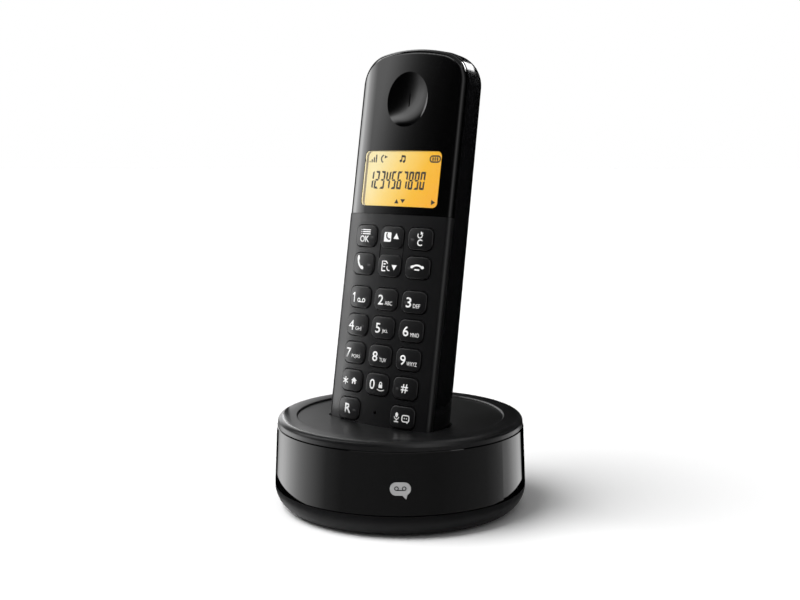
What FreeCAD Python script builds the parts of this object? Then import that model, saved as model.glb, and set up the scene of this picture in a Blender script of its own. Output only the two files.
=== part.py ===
import FreeCAD, Part
import math
import os
from FreeCAD import Vector, Placement, Rotation

# A cordless telephone handset standing in its round charging base.
# Millimetres, +Z up. The origin is on the floor under the middle of the base, and the front faces -Y.
# Handset pieces are modelled lying on their back: x across, y up from the bottom end, z out of the face.

# Keys
key_width = 10.54
key_height = 8.02
key_corner = 2.4
key_gap = 0.3
key_proud = 0.85
key_crown = 38.0
key_edge = 0.45
key_travel = 0.8
column_pitch = 12.69
row_pitch = 10.42
nav_row_gap = 1.96
bottom_row = 24.7
flange_reach = 0.6
flange_gap = 0.2
flange_thick = 1.2
plunger_radius = 1.5
plunger_length = 1.2
rocker_angle = 3.5
rocker_pivot_depth = 2.6
rocker_pin = 0.5
rocker_pin_reach = 0.8

# Handset body
side_margin = 5.9
outline_corner = 11.6
top_arc = 75.0
front_crown = 151.0
back_crown = 120.0
front_edge = 2.0
back_edge = 10.6
handset_taper = 2.4
front_wall = 1.8
rear_wall = 1.5
parting_depth = 4.3
seam_gap = 0.15
fit_gap = 0.1
skirt_wall = 1.0
skirt_depth = 2.5

# Fascia, display and ear dish
fascia_margin = 4.5
fascia_wall = 1.4
fascia_step = 0.25
carrier_wall = 1.2
window_margin = 2.87
window_width = 35.7
window_height = 20.52
window_corner = 1.8
window_thick = 1.2
window_sunk = 0.15
lcd_depth = 3.9
lcd_thick = 1.2
lcd_overlap = 0.65
holder_wall = 1.2
ear_margin = 8.77
ear_radius = 10.14
ear_depth = 1.8
ear_wall = 1.2
ear_slit_length = 4.9
ear_slit_width = 0.5
ear_rim = 1.0
top_margin = 8.75

# Inside the handset
dome_radius = 2.2
dome_height = 0.35
dome_gap = 0.2
dome_sheet_thick = 0.15
mat_thick = 0.7
mat_well = 2.6
mat_rise = 0.1
board_thick = 1.0
board_foot = 4.0
board_top = 8.0
layer_gap = 0.05
screw_radius = 1.0
screw_head = 1.9
screw_head_thick = 1.3
screw_seat_depth = 4.5
screw_margin = 7.0
boss_wall = 1.0
mic_radius = 2.1
mic_height = 2.0
mic_hole = 0.6
boot_wall = 1.1
earpiece_radius = 6.5
earpiece_height = 2.8
gasket_thick = 0.5
speaker_radius = 10.0
speaker_height = 4.2
speaker_drop = 12.0
slot_pitch = 2.6
slot_height = 1.2
slot_length = 13.0
shield_height = 2.2
shield_wall = 0.4
handset_shield_width = 24.0
handset_shield_length = 22.0
antenna_drop = 11.0
antenna_half = 13.0

# Battery compartment and door
cell_radius = 5.1
cell_length = 44.5
cell_space = 0.6
contact_room = 3.0
contact_strip = 0.4
tub_wall = 0.9
door_wall = 1.3
door_gap = 0.3
door_side = 2.8
door_end = 3.0
door_clear = 13.0
door_corner = 3.0
door_grip_drop = 9.0
lug_width = 3.6
lug_length = 2.4
lug_reach = 1.4
lug_thick = 0.8
lug_inset = 3.0
lug_swing_room = 0.8
latch_width = 8.0

# Docking
lean_angle = 9.346
pocket_depth = 20.06
face_offset = 15.67
dock_gap = 0.6
seat_gap = 0.3
cup_wall = 1.6
charge_pitch = 25.4
charge_width = 5.0
charge_height = 3.2
charge_strip = 0.3

# Base
foot_height = 1.0
foot_radius = 5.0
foot_sink = 0.5
base_radius = 47.0
base_foot_inset = 4.1
foot_margin = 3.2
tray_height = 7.5
tray_wall = 1.8
band_height = 22.2
band_taper = 0.91
band_wall = 1.6
base_seam = 0.15
rim_step = 0.35
rim_lip = 1.4
rim_roll = 1.9
rim_crown = 0.1
rim_width = 7.3
dish_fillet = 0.5
dish_step = 0.67
dish_sphere = 520.0
dish_wall = 1.8
ring_wall = 1.8
ring_lip = 1.4
ring_lip_depth = 2.5
tray_lip = 3.0
base_screw_inset = 5.55
base_screw_radius = 1.25
base_screw_head = 2.3
base_screw_head_thick = 1.7
base_screw_length = 12.0
base_seat_depth = 4.5
base_board_thick = 1.6
base_board_margin = 2.5
base_shield_width = 20.0
base_shield_gap = 3.5
can_gap = 1.0
jack_gap = 0.4
line_jack_width = 13.2
line_jack_height = 11.6
line_jack_depth = 13.0
plug_width = 9.9
plug_height = 6.8
power_jack_width = 9.0
power_jack_height = 11.0
power_jack_depth = 13.0
power_bore = 2.85
power_pin = 1.0
jack_shift = 8.2
paging_radius = 4.0
paging_travel = 0.8
paging_angle = 52.0
antenna_angle = 31.0
icon_angle = -51.2
icon_width = 7.15
icon_height = 4.55
icon_level = 18.25
icon_tail = 1.4

# Sizes that follow from those above
rows = [bottom_row + i * row_pitch for i in range(5)]
rows += [rows[-1] + row_pitch + nav_row_gap, rows[-1] + 2 * row_pitch + nav_row_gap]
half_width = column_pitch + key_width / 2 + side_margin
fascia_start = rows[-1] + key_height / 2 + fascia_margin
window_low = fascia_start + window_margin
window_centre = window_low + window_height / 2
ear_centre = window_low + window_height + ear_margin + ear_radius
handset_length = ear_centre + ear_radius + top_margin
flange_half = key_width / 2 + flange_reach
flange_half_height = key_height / 2 + flange_reach


def face_drop(x):
    """How far the convex front face lies below its crown at a distance x from the middle."""
    return front_crown - math.sqrt(front_crown**2 - x**2)


def back_drop(x):
    """The same for the crowned back."""
    return back_crown - math.sqrt(back_crown**2 - x**2)


flange_foot = -(face_drop(column_pitch + flange_half) + front_wall + flange_gap + flange_thick)
plunger_tip = flange_foot - plunger_length
dome_top = plunger_tip - key_travel - dome_gap
dome_sheet_top = dome_top - dome_height
board_front = dome_sheet_top - dome_sheet_thick - layer_gap
board_back = board_front - board_thick
mat_top = plunger_tip + mat_rise
tub_floor = board_back - door_gap
cell_top = tub_floor - tub_wall - fit_gap
cell_axis = cell_top - cell_radius
cell_shift = cell_radius + cell_space / 2
door_low = pocket_depth + door_clear
tub_low = door_low + door_end + lug_reach
tub_high = tub_low + cell_length + 2 * contact_room
tub_half = cell_shift + cell_radius + cell_space
door_high = tub_high + door_end
door_half = tub_half + tub_wall + door_side
depth_at_tub = door_wall + door_gap + cell_radius - cell_axis + back_drop(cell_shift)
handset_depth_bottom = depth_at_tub + handset_taper * tub_high / handset_length
screw_low = outline_corner + 2.0
holder_half_height = window_height / 2 + lcd_overlap + holder_wall
screw_high = (rows[-1] + flange_half_height + window_centre - holder_half_height) / 2
screw_side = half_width - screw_margin
boss_radius = screw_radius + boss_wall

tray_top = foot_height + tray_height
band_low = tray_top + base_seam
band_high = tray_top + band_height
rim_low = band_high + base_seam
rim_radius = base_radius - band_taper - rim_step
rim_high = rim_low + rim_lip + rim_roll
dish_radius = rim_radius - rim_width
dish_edge = rim_high - dish_step
dish_low = dish_edge - (dish_sphere - math.sqrt(dish_sphere**2 - dish_radius**2))
skirt_radius = base_radius - band_taper - band_wall - fit_gap
skirt_inner = skirt_radius - ring_wall
base_screw_circle = skirt_inner - base_screw_inset
foot_circle = base_radius - base_foot_inset - foot_radius - foot_margin


def dish_level(r):
    """Height of the dish at a distance r from the middle of the base."""
    return dish_low + dish_sphere - math.sqrt(dish_sphere**2 - r**2)


lean = math.radians(lean_angle)
seat_y = -face_offset - pocket_depth * math.sin(lean)
seat_z = dish_level(face_offset) - pocket_depth * math.cos(lean)
docked = Placement(Vector(0, seat_y, seat_z), Rotation(Vector(1, 0, 0), 90 - lean_angle))


def on_base(x, y, z):
    """Where a point of the handset lies once it stands in the base."""
    return docked.multVec(Vector(x, y, z))


cup_foot = -seat_gap - cup_wall
charge_reach = dock_gap + cup_wall + 2.5
charge_level = cup_foot - 2 * fit_gap
charge_front = board_back - 3 * layer_gap - contact_strip
charge_back = charge_front - charge_height + 0.8
base_board_low = on_base(0, charge_level, charge_reach).z + fit_gap
base_board_top = base_board_low + base_board_thick
base_board_radius = skirt_inner - base_board_margin
behind_pocket = on_base(0, pocket_depth / 2, -handset_depth_bottom - dock_gap - cup_wall).y


def dock(shape):
    """Stand a handset piece in the base."""
    shape.Placement = docked.multiply(shape.Placement)
    return shape


def cylinder(radius, low, high, x=0.0, y=0.0):
    """An upright round bar."""
    return Part.makeCylinder(radius, high - low, Vector(x, y, low))


def block(x0, x1, y0, y1, z0, z1):
    """A box between two corners."""
    return Part.makeBox(x1 - x0, y1 - y0, z1 - z0, Vector(x0, y0, z0))


def rounded_block(x, y, width, height, corner, low, high):
    """An upright bar with a rounded rectangular section, centred on x, y."""
    bar = block(x - width / 2, x + width / 2, y - height / 2, y + height / 2, low, high)
    upright = [e for e in bar.Edges if abs(e.tangentAt(e.FirstParameter).z) > 0.9]
    return bar.makeFillet(corner, upright)


def arc(start, middle, end):
    """A circular edge through three points."""
    return Part.Arc(start, middle, end).toShape()


def strip(points, thick, x0, x1):
    """A bent metal strip: a line of (y, z) points given a thickness, between x0 and x1."""
    edges = [Part.makeLine(Vector(x0, *a), Vector(x0, *b)) for a, b in zip(points, points[1:])]
    outline = Part.Wire(edges).makeOffset2D(thick / 2, 2, True, True)
    return Part.Face(outline).extrude(Vector(x1 - x0, 0, 0))


def handset_outline(inset, low, high):
    """The handset's front view as an upright bar, drawn in by an inset."""
    half = half_width - inset
    corner = outline_corner - inset
    big = top_arc - inset
    big_centre = handset_length - top_arc
    side = half - corner
    shoulder = big_centre + math.sqrt((big - corner) ** 2 - side**2)
    turn = math.atan2(shoulder - big_centre, side)
    meet = Vector(side + corner * math.cos(turn), shoulder + corner * math.sin(turn), low)
    half_turn = Vector(side + corner * math.cos(turn / 2), shoulder + corner * math.sin(turn / 2), low)
    foot = inset + corner
    slant = corner * math.sqrt(0.5)

    def mirror(p):
        return Vector(-p.x, p.y, p.z)

    foot_in = Vector(side, inset, low)
    foot_mid = Vector(side + slant, foot - slant, low)
    foot_out = Vector(half, foot, low)
    side_top = Vector(half, shoulder, low)
    summit = Vector(0, handset_length - inset, low)
    edges = [
        Part.makeLine(mirror(foot_in), foot_in),
        arc(foot_in, foot_mid, foot_out),
        Part.makeLine(foot_out, side_top),
        arc(side_top, half_turn, meet),
        arc(meet, summit, mirror(meet)),
        arc(mirror(meet), mirror(half_turn), mirror(side_top)),
        Part.makeLine(mirror(side_top), mirror(foot_out)),
        arc(mirror(foot_out), mirror(foot_mid), mirror(foot_in)),
    ]
    return Part.Face(Part.Wire(edges)).extrude(Vector(0, 0, high - low))


def front_barrel(inset):
    """The round bar whose top is the convex front face."""
    start = Vector(0, -handset_length, -front_crown)
    return Part.makeCylinder(front_crown - inset, 3 * handset_length, start, Vector(0, 1, 0))


def back_barrel(inset, taper):
    """The round bar whose underside is the crowned back, which tapers towards the top end."""
    slope = taper / handset_length
    run = Vector(0, 1, slope)
    start = Vector(0, 0, back_crown - handset_depth_bottom) - run * handset_length
    return Part.makeCylinder(back_crown - inset, 3 * handset_length * run.Length, start, run)


def rounded_rim(body, crown, radius):
    """Round the edge of the face that is part of a barrel with the given radius."""
    round_faces = [f for f in body.Faces if hasattr(f.Surface, "Radius")]
    faces = [f for f in round_faces if abs(f.Surface.Radius - crown) < 0.001]
    widest = max(faces, key=lambda f: f.Area)
    return body.makeFillet(radius, widest.OuterWire.Edges)


def handset_blank(inset, taper):
    """The handset's outer form with its front and back edges still sharp."""
    body = handset_outline(inset, -2 * handset_depth_bottom, handset_depth_bottom)
    return body.common(front_barrel(inset)).common(back_barrel(inset, taper))


def handset_form(inset, taper=handset_taper):
    """The handset's outer form, drawn in all round by an inset."""
    body = rounded_rim(handset_blank(inset, taper), back_crown - inset, back_edge - inset)
    if front_edge - inset > 0.3:
        body = rounded_rim(body, front_crown - inset, front_edge - inset)
    return body


def slab(low, high, y0=None, y1=None):
    """A wide box that keeps what lies between two heights and two distances from the bottom end."""
    wide = 2 * half_width
    start = -handset_length if y0 is None else y0
    end = 2 * handset_length if y1 is None else y1
    return block(-wide, wide, start, end, low, high)


def at_screws(make):
    """One copy of something at each of the four screws."""
    places = [(x, y) for x in (-screw_side, screw_side) for y in (screw_low, screw_high)]
    return [make(x, y) for x, y in places]


key_places = {"key_menu": (-1, 6), "key_redial": (1, 6), "key_talk": (-1, 5), "key_hangup": (1, 5)}
for digit in range(1, 10):
    key_places["key_%d" % digit] = ((digit - 1) % 3 - 1, 4 - (digit - 1) // 3)
key_places.update({"key_star": (-1, 1), "key_0": (0, 1), "key_hash": (1, 1)})
key_places.update({"key_recall": (-1, 0), "key_mute": (1, 0)})
rocker_centre = (rows[5] + rows[6]) / 2
rocker_height = row_pitch + key_height


def key_centre(name):
    """Where a key stands on the face."""
    column, row = key_places[name]
    return column * column_pitch, rows[row]


def key_pad(x, y):
    """The raised part of a key, crowned along the curve of the face, with a rounded edge."""
    turn = math.asin(x / front_crown)
    normal = Vector(math.sin(turn), 0, math.cos(turn))
    face = Vector(x, y, -face_drop(x))
    ball = Part.makeSphere(key_crown, face + normal * (key_proud - key_crown))
    pad = rounded_block(x, y, key_width, key_height, key_corner, flange_foot, 2 * key_proud)
    pad = pad.common(ball)
    top = [f for f in pad.Faces if isinstance(f.Surface, Part.Sphere)]
    return pad.makeFillet(key_edge, top[0].OuterWire.Edges)


def key_flange(x, y, height, drop):
    """The hidden rim that keeps a key under the shell."""
    rim = rounded_block(x, y, 2 * flange_half, height + 2 * flange_reach, key_corner, flange_foot, 0)
    return rim.common(front_barrel(front_wall + drop))


def key(name):
    """A key: pad, hidden rim and the plunger that works its dome."""
    x, y = key_centre(name)
    plunger = cylinder(plunger_radius, plunger_tip, flange_foot, x, y)
    return key_pad(x, y).multiFuse([key_flange(x, y, key_height, flange_gap), plunger]).removeSplitter()


def nav_rocker():
    """The up and down keys, one piece that tips on two side pins, with a plunger under each pad."""
    rise = rocker_height / 2 * math.sin(math.radians(rocker_angle)) + flange_gap
    bridge = rounded_block(0, rocker_centre, key_width, rocker_height, key_corner, flange_foot, 0)
    bridge = bridge.common(front_barrel(fit_gap))
    pin_start = Vector(-flange_half - rocker_pin_reach, rocker_centre, -rocker_pivot_depth)
    pin = Part.makeCylinder(rocker_pin, 2 * (flange_half + rocker_pin_reach), pin_start, Vector(1, 0, 0))
    dip = row_pitch / 2 * math.sin(math.radians(rocker_angle)) + 2 * fit_gap
    plungers = [cylinder(plunger_radius, dome_top + dip, flange_foot, 0, y) for y in rows[5:]]
    parts = [key_pad(0, y) for y in rows[5:]] + [key_flange(0, rocker_centre, rocker_height, rise), pin]
    return bridge.multiFuse(parts + plungers).removeSplitter()


def rocker_saddles():
    """Two notched ribs inside the face that the rocker's pins turn in."""
    saddles = []
    near = flange_half + fit_gap
    far = flange_half + rocker_pin_reach
    low = -rocker_pivot_depth - rocker_pin
    half = 3 * rocker_pin
    for x0, x1 in ((near, far), (-far, -near)):
        rib = block(x0, x1, rocker_centre - half, rocker_centre + half, low, -fascia_wall)
        slot = rocker_pin + fit_gap
        notch = block(x0, x1, rocker_centre - slot, rocker_centre + slot, low, -rocker_pivot_depth)
        start = Vector(x0, rocker_centre, -rocker_pivot_depth)
        saddles.append(rib.cut(notch).cut(Part.makeCylinder(slot, x1 - x0, start, Vector(1, 0, 0))))
    return saddles


def key_opening(x, y, height):
    """The hole in the face that a key stands in."""
    width = key_width + 2 * key_gap
    height = height + 2 * key_gap
    return rounded_block(x, y, width, height, key_corner + key_gap, -2 * parting_depth, front_wall)


def window_bar(grow, low, high):
    """An upright bar with the window's outline, made larger by grow on each side."""
    width = window_width + 2 * grow
    height = window_height + 2 * grow
    return rounded_block(0, window_centre, width, height, window_corner + max(grow, 0), low, high)


def handset_front_shell():
    """The keypad face, with the stepped-down carrier that the fascia is glued to and a skirt all round."""
    step = fascia_wall + fit_gap
    carrier = step + carrier_wall
    top = front_wall
    lower = handset_form(0).common(slab(-parting_depth, top, y1=fascia_start - seam_gap))
    inside = handset_form(front_wall).common(slab(-2 * parting_depth, top, y1=fascia_start - carrier_wall))
    lower = lower.cut(inside)
    core = handset_form(step)
    upper = core.common(slab(-parting_depth, top, y0=fascia_start - carrier_wall))
    upper = upper.cut(handset_form(carrier).common(slab(-2 * parting_depth, top, y0=fascia_start)))
    inner = rear_wall + fit_gap
    skirt_low = -parting_depth - skirt_depth
    skirt = handset_form(inner).cut(handset_form(inner + skirt_wall))
    skirt = skirt.common(slab(skirt_low, -parting_depth + 0.5))
    shell = lower.multiFuse([upper, skirt])
    bosses = at_screws(lambda x, y: cylinder(boss_radius, board_front + layer_gap, 0, x, y).common(core))
    shell = shell.multiFuse(bosses + rocker_saddles())
    bore = screw_radius + 0.04
    holes = at_screws(lambda x, y: cylinder(bore, board_front - 1, -face_drop(x) - front_wall, x, y))
    holes += [key_opening(*key_centre(name), key_height) for name in key_places]
    holes.append(key_opening(0, rocker_centre, rocker_height))
    holes.append(cylinder(mic_hole, -parting_depth, front_wall, 0, bottom_row))
    holder_gap = lcd_overlap + holder_wall + 2 * fit_gap
    holes.append(window_bar(holder_gap, -3 * parting_depth, front_wall))
    ear_hole = ear_radius + ear_rim + 3 * fit_gap
    holes.append(cylinder(ear_hole, -2 * parting_depth, front_wall, 0, ear_centre))
    slot = charge_width / 2 + 0.5
    for x in (-charge_pitch / 2, charge_pitch / 2):
        holes.append(block(x - slot, x + slot, 0.5, 5.0, -3 * parting_depth, -parting_depth - 0.8))
    return shell.cut(Part.makeCompound(holes)).removeSplitter()


def ear_ball(inset):
    """The ball that the ear dish is a cap of."""
    radius = (ear_radius**2 + ear_depth**2) / (2 * ear_depth)
    return Part.makeSphere(radius + inset, Vector(0, ear_centre, radius - ear_depth))


def upper_fascia():
    """The gloss cover over the display end, with its ear dish and sound slit."""
    low = -parting_depth
    outer = handset_outline(fascia_step, low, front_wall).common(front_barrel(0))
    outer = rounded_rim(outer, front_crown, front_edge)
    inner = handset_form(fascia_wall)
    region = slab(low, 2 * front_wall, y0=fascia_start)
    cover = outer.common(region).cut(inner)
    rim = cylinder(ear_radius + ear_rim, -2 * parting_depth, -fascia_wall / 2, 0, ear_centre)
    cup = ear_ball(ear_wall).common(rim)
    cover = cover.fuse(cup).cut(ear_ball(0))
    corner = ear_slit_width * 0.45
    through = -2 * parting_depth
    slit = rounded_block(0, ear_centre, ear_slit_width, ear_slit_length, corner, through, front_wall)
    cover = cover.cut(window_bar(0, through, front_wall)).cut(slit)
    return cover.removeSplitter()


def display_window():
    """The clear pane, curved like the face and let in a little below it."""
    pane = window_bar(-fit_gap, -2 * parting_depth, front_wall)
    return pane.common(front_barrel(window_sunk)).cut(front_barrel(window_sunk + window_thick))


def lcd_panel():
    """The flat liquid crystal glass."""
    return window_bar(lcd_overlap - fit_gap, -lcd_depth - lcd_thick, -lcd_depth)


def lcd_backlight():
    """The white light guide and frame that holds the glass and lines the window."""
    low = board_front + layer_gap
    frame = window_bar(lcd_overlap + holder_wall, low, 0).common(front_barrel(fascia_wall + fit_gap))
    frame = frame.cut(window_bar(lcd_overlap, -lcd_depth - lcd_thick - layer_gap, -lcd_depth + layer_gap))
    return frame.cut(window_bar(0.1, -lcd_depth, front_wall))


def earpiece_gasket():
    """The foam ring between the earpiece and the ear dish."""
    top = -ear_depth - ear_wall - fit_gap
    ring = cylinder(earpiece_radius, top - gasket_thick, top, 0, ear_centre)
    return ring.cut(cylinder(earpiece_radius - 2, top - gasket_thick - 1, top + 1, 0, ear_centre))


def earpiece_speaker():
    """The earpiece capsule: a frame, a magnet pot and a domed diaphragm."""
    top = -ear_depth - ear_wall - gasket_thick - 2 * fit_gap
    rim = cylinder(earpiece_radius, top - 1.2, top, 0, ear_centre)
    rim = rim.cut(cylinder(earpiece_radius - 0.8, top - 0.5, top + 1, 0, ear_centre))
    ball = Part.makeSphere(9.0, Vector(0, ear_centre, top - 9.0 - 0.1)).common(
        cylinder(3.5, top - 1.0, top, 0, ear_centre))
    low = max(top - earpiece_height, board_front + fit_gap)
    return rim.multiFuse([ball, cylinder(earpiece_radius - 1.4, low, top - 1.0, 0, ear_centre)])


def handset_pcb():
    """The handset's circuit board, cut away for the screws."""
    board = handset_outline(rear_wall + skirt_wall + 4 * fit_gap, board_back, board_front)
    board = board.common(slab(board_back, board_front, board_foot, handset_length - board_top))
    holes = at_screws(lambda x, y: cylinder(screw_radius + 0.3, board_back - 1, board_front + 1, x, y))
    return board.cut(Part.makeCompound(holes))


def dome_places():
    """The middle of each switch dome: one under every key and two under the rocker."""
    return [key_centre(name) for name in key_places] + [(0, y) for y in rows[5:]]


def keypad_area(low, high):
    """The area under the keys, clear of the screws and the microphone."""
    y0 = rows[0] - key_height / 2
    y1 = rows[-1] + key_height / 2
    width = 2 * (column_pitch + key_width / 2)
    area = rounded_block(0, (y0 + y1) / 2, width, y1 - y0, key_corner, low, high)
    return area.cut(cylinder(mic_radius + boot_wall + 0.4, low - 1, high + 1, 0, bottom_row))


def dome_sheet():
    """The film with a snap dome under each key."""
    low = board_front + layer_gap
    sheet = keypad_area(low, dome_sheet_top)
    ball = (dome_radius**2 + dome_height**2) / (2 * dome_height)
    domes = []
    for x, y in dome_places():
        cap = Part.makeSphere(ball, Vector(x, y, dome_top - ball))
        foot = cylinder(dome_radius * 1.2, dome_sheet_top - dome_sheet_thick / 2, dome_top, x, y)
        domes.append(cap.common(foot))
    return sheet.multiFuse(domes)


def keypad_mat():
    """The silicone mat, with an open well for each plunger and a rim that stands on the dome film."""
    low = dome_sheet_top + layer_gap
    mat = keypad_area(low, mat_top)
    y0 = rows[0] - key_height / 2 + 1.2
    y1 = rows[-1] + key_height / 2 - 1.2
    width = 2 * (column_pitch + key_width / 2) - 2.4
    roof = mat_top - mat_thick / 2
    hollow = rounded_block(0, (y0 + y1) / 2, width, y1 - y0, key_corner / 2, low - 1, roof)
    sleeve = cylinder(mic_radius + boot_wall + 1.4, low - 2, mat_top, 0, bottom_row)
    mat = mat.cut(hollow.cut(sleeve))
    wells = [cylinder(mat_well, low - 1, mat_top + 1, x, y) for x, y in dome_places()]
    return mat.cut(Part.makeCompound(wells))


def mic_boot():
    """The rubber sleeve that seals the microphone to its hole in the face."""
    top = -front_wall - fit_gap
    sleeve = cylinder(mic_radius + boot_wall, board_front + layer_gap, top, 0, bottom_row)
    sleeve = sleeve.cut(cylinder(mic_radius + fit_gap, board_front - 1, top - 1.2, 0, bottom_row))
    return sleeve.cut(cylinder(mic_hole, top - 2, top + 1, 0, bottom_row))


def microphone():
    """The microphone capsule on its two legs."""
    top = -front_wall - fit_gap - 1.2 - fit_gap
    can = cylinder(mic_radius, top - mic_height, top, 0, bottom_row)
    can = can.cut(cylinder(mic_hole, top - 0.4, top + 1, 0, bottom_row))
    legs = [cylinder(0.3, board_front + layer_gap, top - mic_height, x, bottom_row) for x in (-1.0, 1.0)]
    return can.multiFuse(legs)


def depth_at(y):
    """Depth of the handset at the middle of its back, at a distance y from the bottom end."""
    return handset_depth_bottom - handset_taper * y / handset_length


def door_bar(grow, low, high):
    """An upright bar with the battery door's outline, made larger by grow on each side."""
    middle = (door_low + door_high) / 2
    height = door_high - door_low + 2 * grow
    return rounded_block(0, middle, 2 * (door_half + grow), height, door_corner + grow, low, high)


speaker_centre = ear_centre - speaker_drop
deep = -2 * handset_depth_bottom


def lug_bar(grow, low, high, room=0.0):
    """The two places at the door's lower edge where its lugs reach under the shell."""
    bars = []
    half = lug_width / 2 + grow
    y0 = door_low - lug_reach - grow
    y1 = door_low + lug_length + grow + room
    for x in (-tub_half + lug_inset, tub_half - lug_inset):
        bars.append(block(x - half, x + half, y0, y1, low, high))
    return Part.makeCompound(bars)


def speaker_slots():
    """Five sound slots in the back, in front of the loudspeaker."""
    low = -handset_depth_bottom
    slots = []
    for i in range(-2, 3):
        width = slot_length - 2.0 * abs(i)
        y = speaker_centre + slot_pitch * i
        slots.append(rounded_block(0, y, width, slot_height, slot_height * 0.45, low, low + 8))
    return slots


def handset_rear_shell():
    """The deep back shell, with the battery tub, the door's ledge, screw posts and sound slots."""
    back_half = slab(deep, -parting_depth - seam_gap)
    shell = handset_form(0).cut(handset_form(rear_wall)).common(back_half)
    ledge_top = door_wall + door_gap
    ledge = door_bar(1.6, deep, cell_axis).common(handset_form(rear_wall / 2))
    ledge = ledge.cut(handset_form(ledge_top + 1.2))
    side = tub_half + tub_wall
    tub = block(-side, side, tub_low - tub_wall, tub_high + tub_wall, deep, tub_floor)
    tub = tub.common(handset_form(rear_wall / 2))
    post = boss_radius + 0.9
    posts = at_screws(lambda x, y: cylinder(post, deep, board_back - layer_gap, x, y))
    posts = [p.common(handset_form(rear_wall / 2)) for p in posts]
    cradle_top = -depth_at(speaker_centre) + rear_wall + 4
    cradle = cylinder(speaker_radius + 1.1, deep, cradle_top, 0, speaker_centre)
    cradle = cradle.common(handset_form(rear_wall / 2))
    speaker_room = cylinder(speaker_radius + 0.3, deep, 0, 0, speaker_centre)
    cradle = cradle.cut(speaker_room.common(handset_form(rear_wall)))
    shell = shell.multiFuse([ledge, tub, cradle] + posts)
    recess = door_bar(door_gap, deep, cell_axis).cut(handset_form(ledge_top))
    hollow = block(-tub_half, tub_half, tub_low, tub_high, deep, tub_floor - tub_wall)
    lugs = lug_bar(door_gap, deep, cell_axis + 1, lug_swing_room).common(handset_form(rear_wall))
    latch_half = latch_width / 2 + door_gap
    latch = block(-latch_half, latch_half, tub_high + tub_wall + door_gap, door_high, deep, cell_axis)
    latch = latch.common(handset_form(ledge_top / 2))
    head_seat = board_back - screw_seat_depth
    holes = at_screws(lambda x, y: cylinder(screw_radius + 0.2, deep, board_back + 1, x, y))
    holes += at_screws(lambda x, y: cylinder(screw_head + 0.3, deep, head_seat, x, y))
    holes += [recess, hollow, lugs, latch] + speaker_slots()
    slot = charge_width / 2 + fit_gap
    for x in (-charge_pitch / 2, charge_pitch / 2):
        high = board_back - 2 * layer_gap
        holes.append(block(x - slot, x + slot, -1, 3, high - charge_height - fit_gap, high))
    for hole in holes:
        shell = shell.cut(hole)
    return shell.removeSplitter()


def battery_door():
    """The battery cover, flush with the back, with two lugs below, a latch above and a thumb grip."""
    door = door_bar(0, deep, cell_axis).common(handset_form(0)).cut(handset_form(door_wall))
    lug_top = rear_wall + door_gap + 0.1
    lug_form = lug_bar(0, deep, cell_axis).cut(handset_form(lug_top + lug_thick))
    lugs = lug_form.common(handset_form(lug_top))
    feet = lug_form.common(handset_form(door_wall / 2)).common(slab(deep, 0, y0=door_low + fit_gap))
    latch_low = tub_high + tub_wall + 2 * door_gap
    tongue = block(-latch_width / 2, latch_width / 2, latch_low, door_high - fit_gap, deep, cell_axis)
    tongue = tongue.common(handset_form(door_wall / 2)).cut(handset_form(2 * door_wall))
    door = door.multiFuse([lugs, feet, tongue])
    grip_y = door_high - door_grip_drop
    scoop = Part.makeSphere(30.0, Vector(0, grip_y, -depth_at(grip_y) - 30.0 + 0.6))
    door = door.cut(scoop)
    ribs = []
    for i in range(-1, 2):
        bar = rounded_block(0, grip_y + 1.8 * i, 7.0, 0.7, 0.3, deep, cell_axis)
        ribs.append(bar.common(handset_form(0.25)).cut(handset_form(door_wall / 2)))
    return door.multiFuse(ribs).removeSplitter()


def battery_cells():
    """Two rechargeable AAA cells, each with the nub of its plus end, laid opposite ways."""
    cells = []
    low = tub_low + contact_room
    high = low + cell_length
    for x, up in ((-cell_shift, True), (cell_shift, False)):
        nub = 0.8
        start = low if up else low + nub
        foot = Vector(x, start, cell_axis)
        can = Part.makeCylinder(cell_radius, cell_length - nub, foot, Vector(0, 1, 0))
        can = can.makeFillet(0.5, [e for e in can.Edges if isinstance(e.Curve, Part.Circle)])
        tip = high - nub if up else low
        cells.append(can.fuse(Part.makeCylinder(1.9, nub, Vector(x, tip, cell_axis), Vector(0, 1, 0))))
    return Part.makeCompound(cells)


def contact_leaf(x, wall_y, reach):
    """A bowed leaf that presses on a cell's end, on a plate against the wall of the tub."""
    side = 1 if reach > 0 else -1
    plate = wall_y + side * (fit_gap + contact_strip / 2)
    bow = wall_y + side * (abs(reach) - contact_strip / 2 - fit_gap)
    low = cell_axis - 3.6
    high = cell_axis + 3.6
    points = [(plate, high), (plate, low), (bow, cell_axis - 1.2), (bow, cell_axis + 1.2)]
    points.append((bow - side * 0.9, cell_axis + 2.6))
    return strip(points, contact_strip, x - 2.2, x + 2.2)


def battery_contacts():
    """Leaf contacts at each end of each cell, the lower two joined by a bridge."""
    parts = []
    for x in (-cell_shift, cell_shift):
        parts.append(contact_leaf(x, tub_high, -contact_room))
    pair = [contact_leaf(x, tub_low, contact_room) for x in (-cell_shift, cell_shift)]
    y = tub_low + fit_gap
    bridge = block(-cell_shift, cell_shift, y, y + contact_strip, cell_axis - 3.6, cell_axis - 1.8)
    parts.append(pair[0].multiFuse([pair[1], bridge]))
    return Part.makeCompound(parts)


def handset_charge_contacts():
    """Two plated pads in the bottom end, each with a leg to the board."""
    pads = []
    high = board_back - 3 * layer_gap
    for x in (-charge_pitch / 2, charge_pitch / 2):
        half = charge_width / 2
        pad = block(x - half, x + half, fit_gap, 0.6, high - charge_height + fit_gap, high)
        leg = block(x - 1.0, x + 1.0, 0.4, 8.0, high - contact_strip, high)
        pads.append(pad.fuse(leg))
    return Part.makeCompound(pads)


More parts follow.
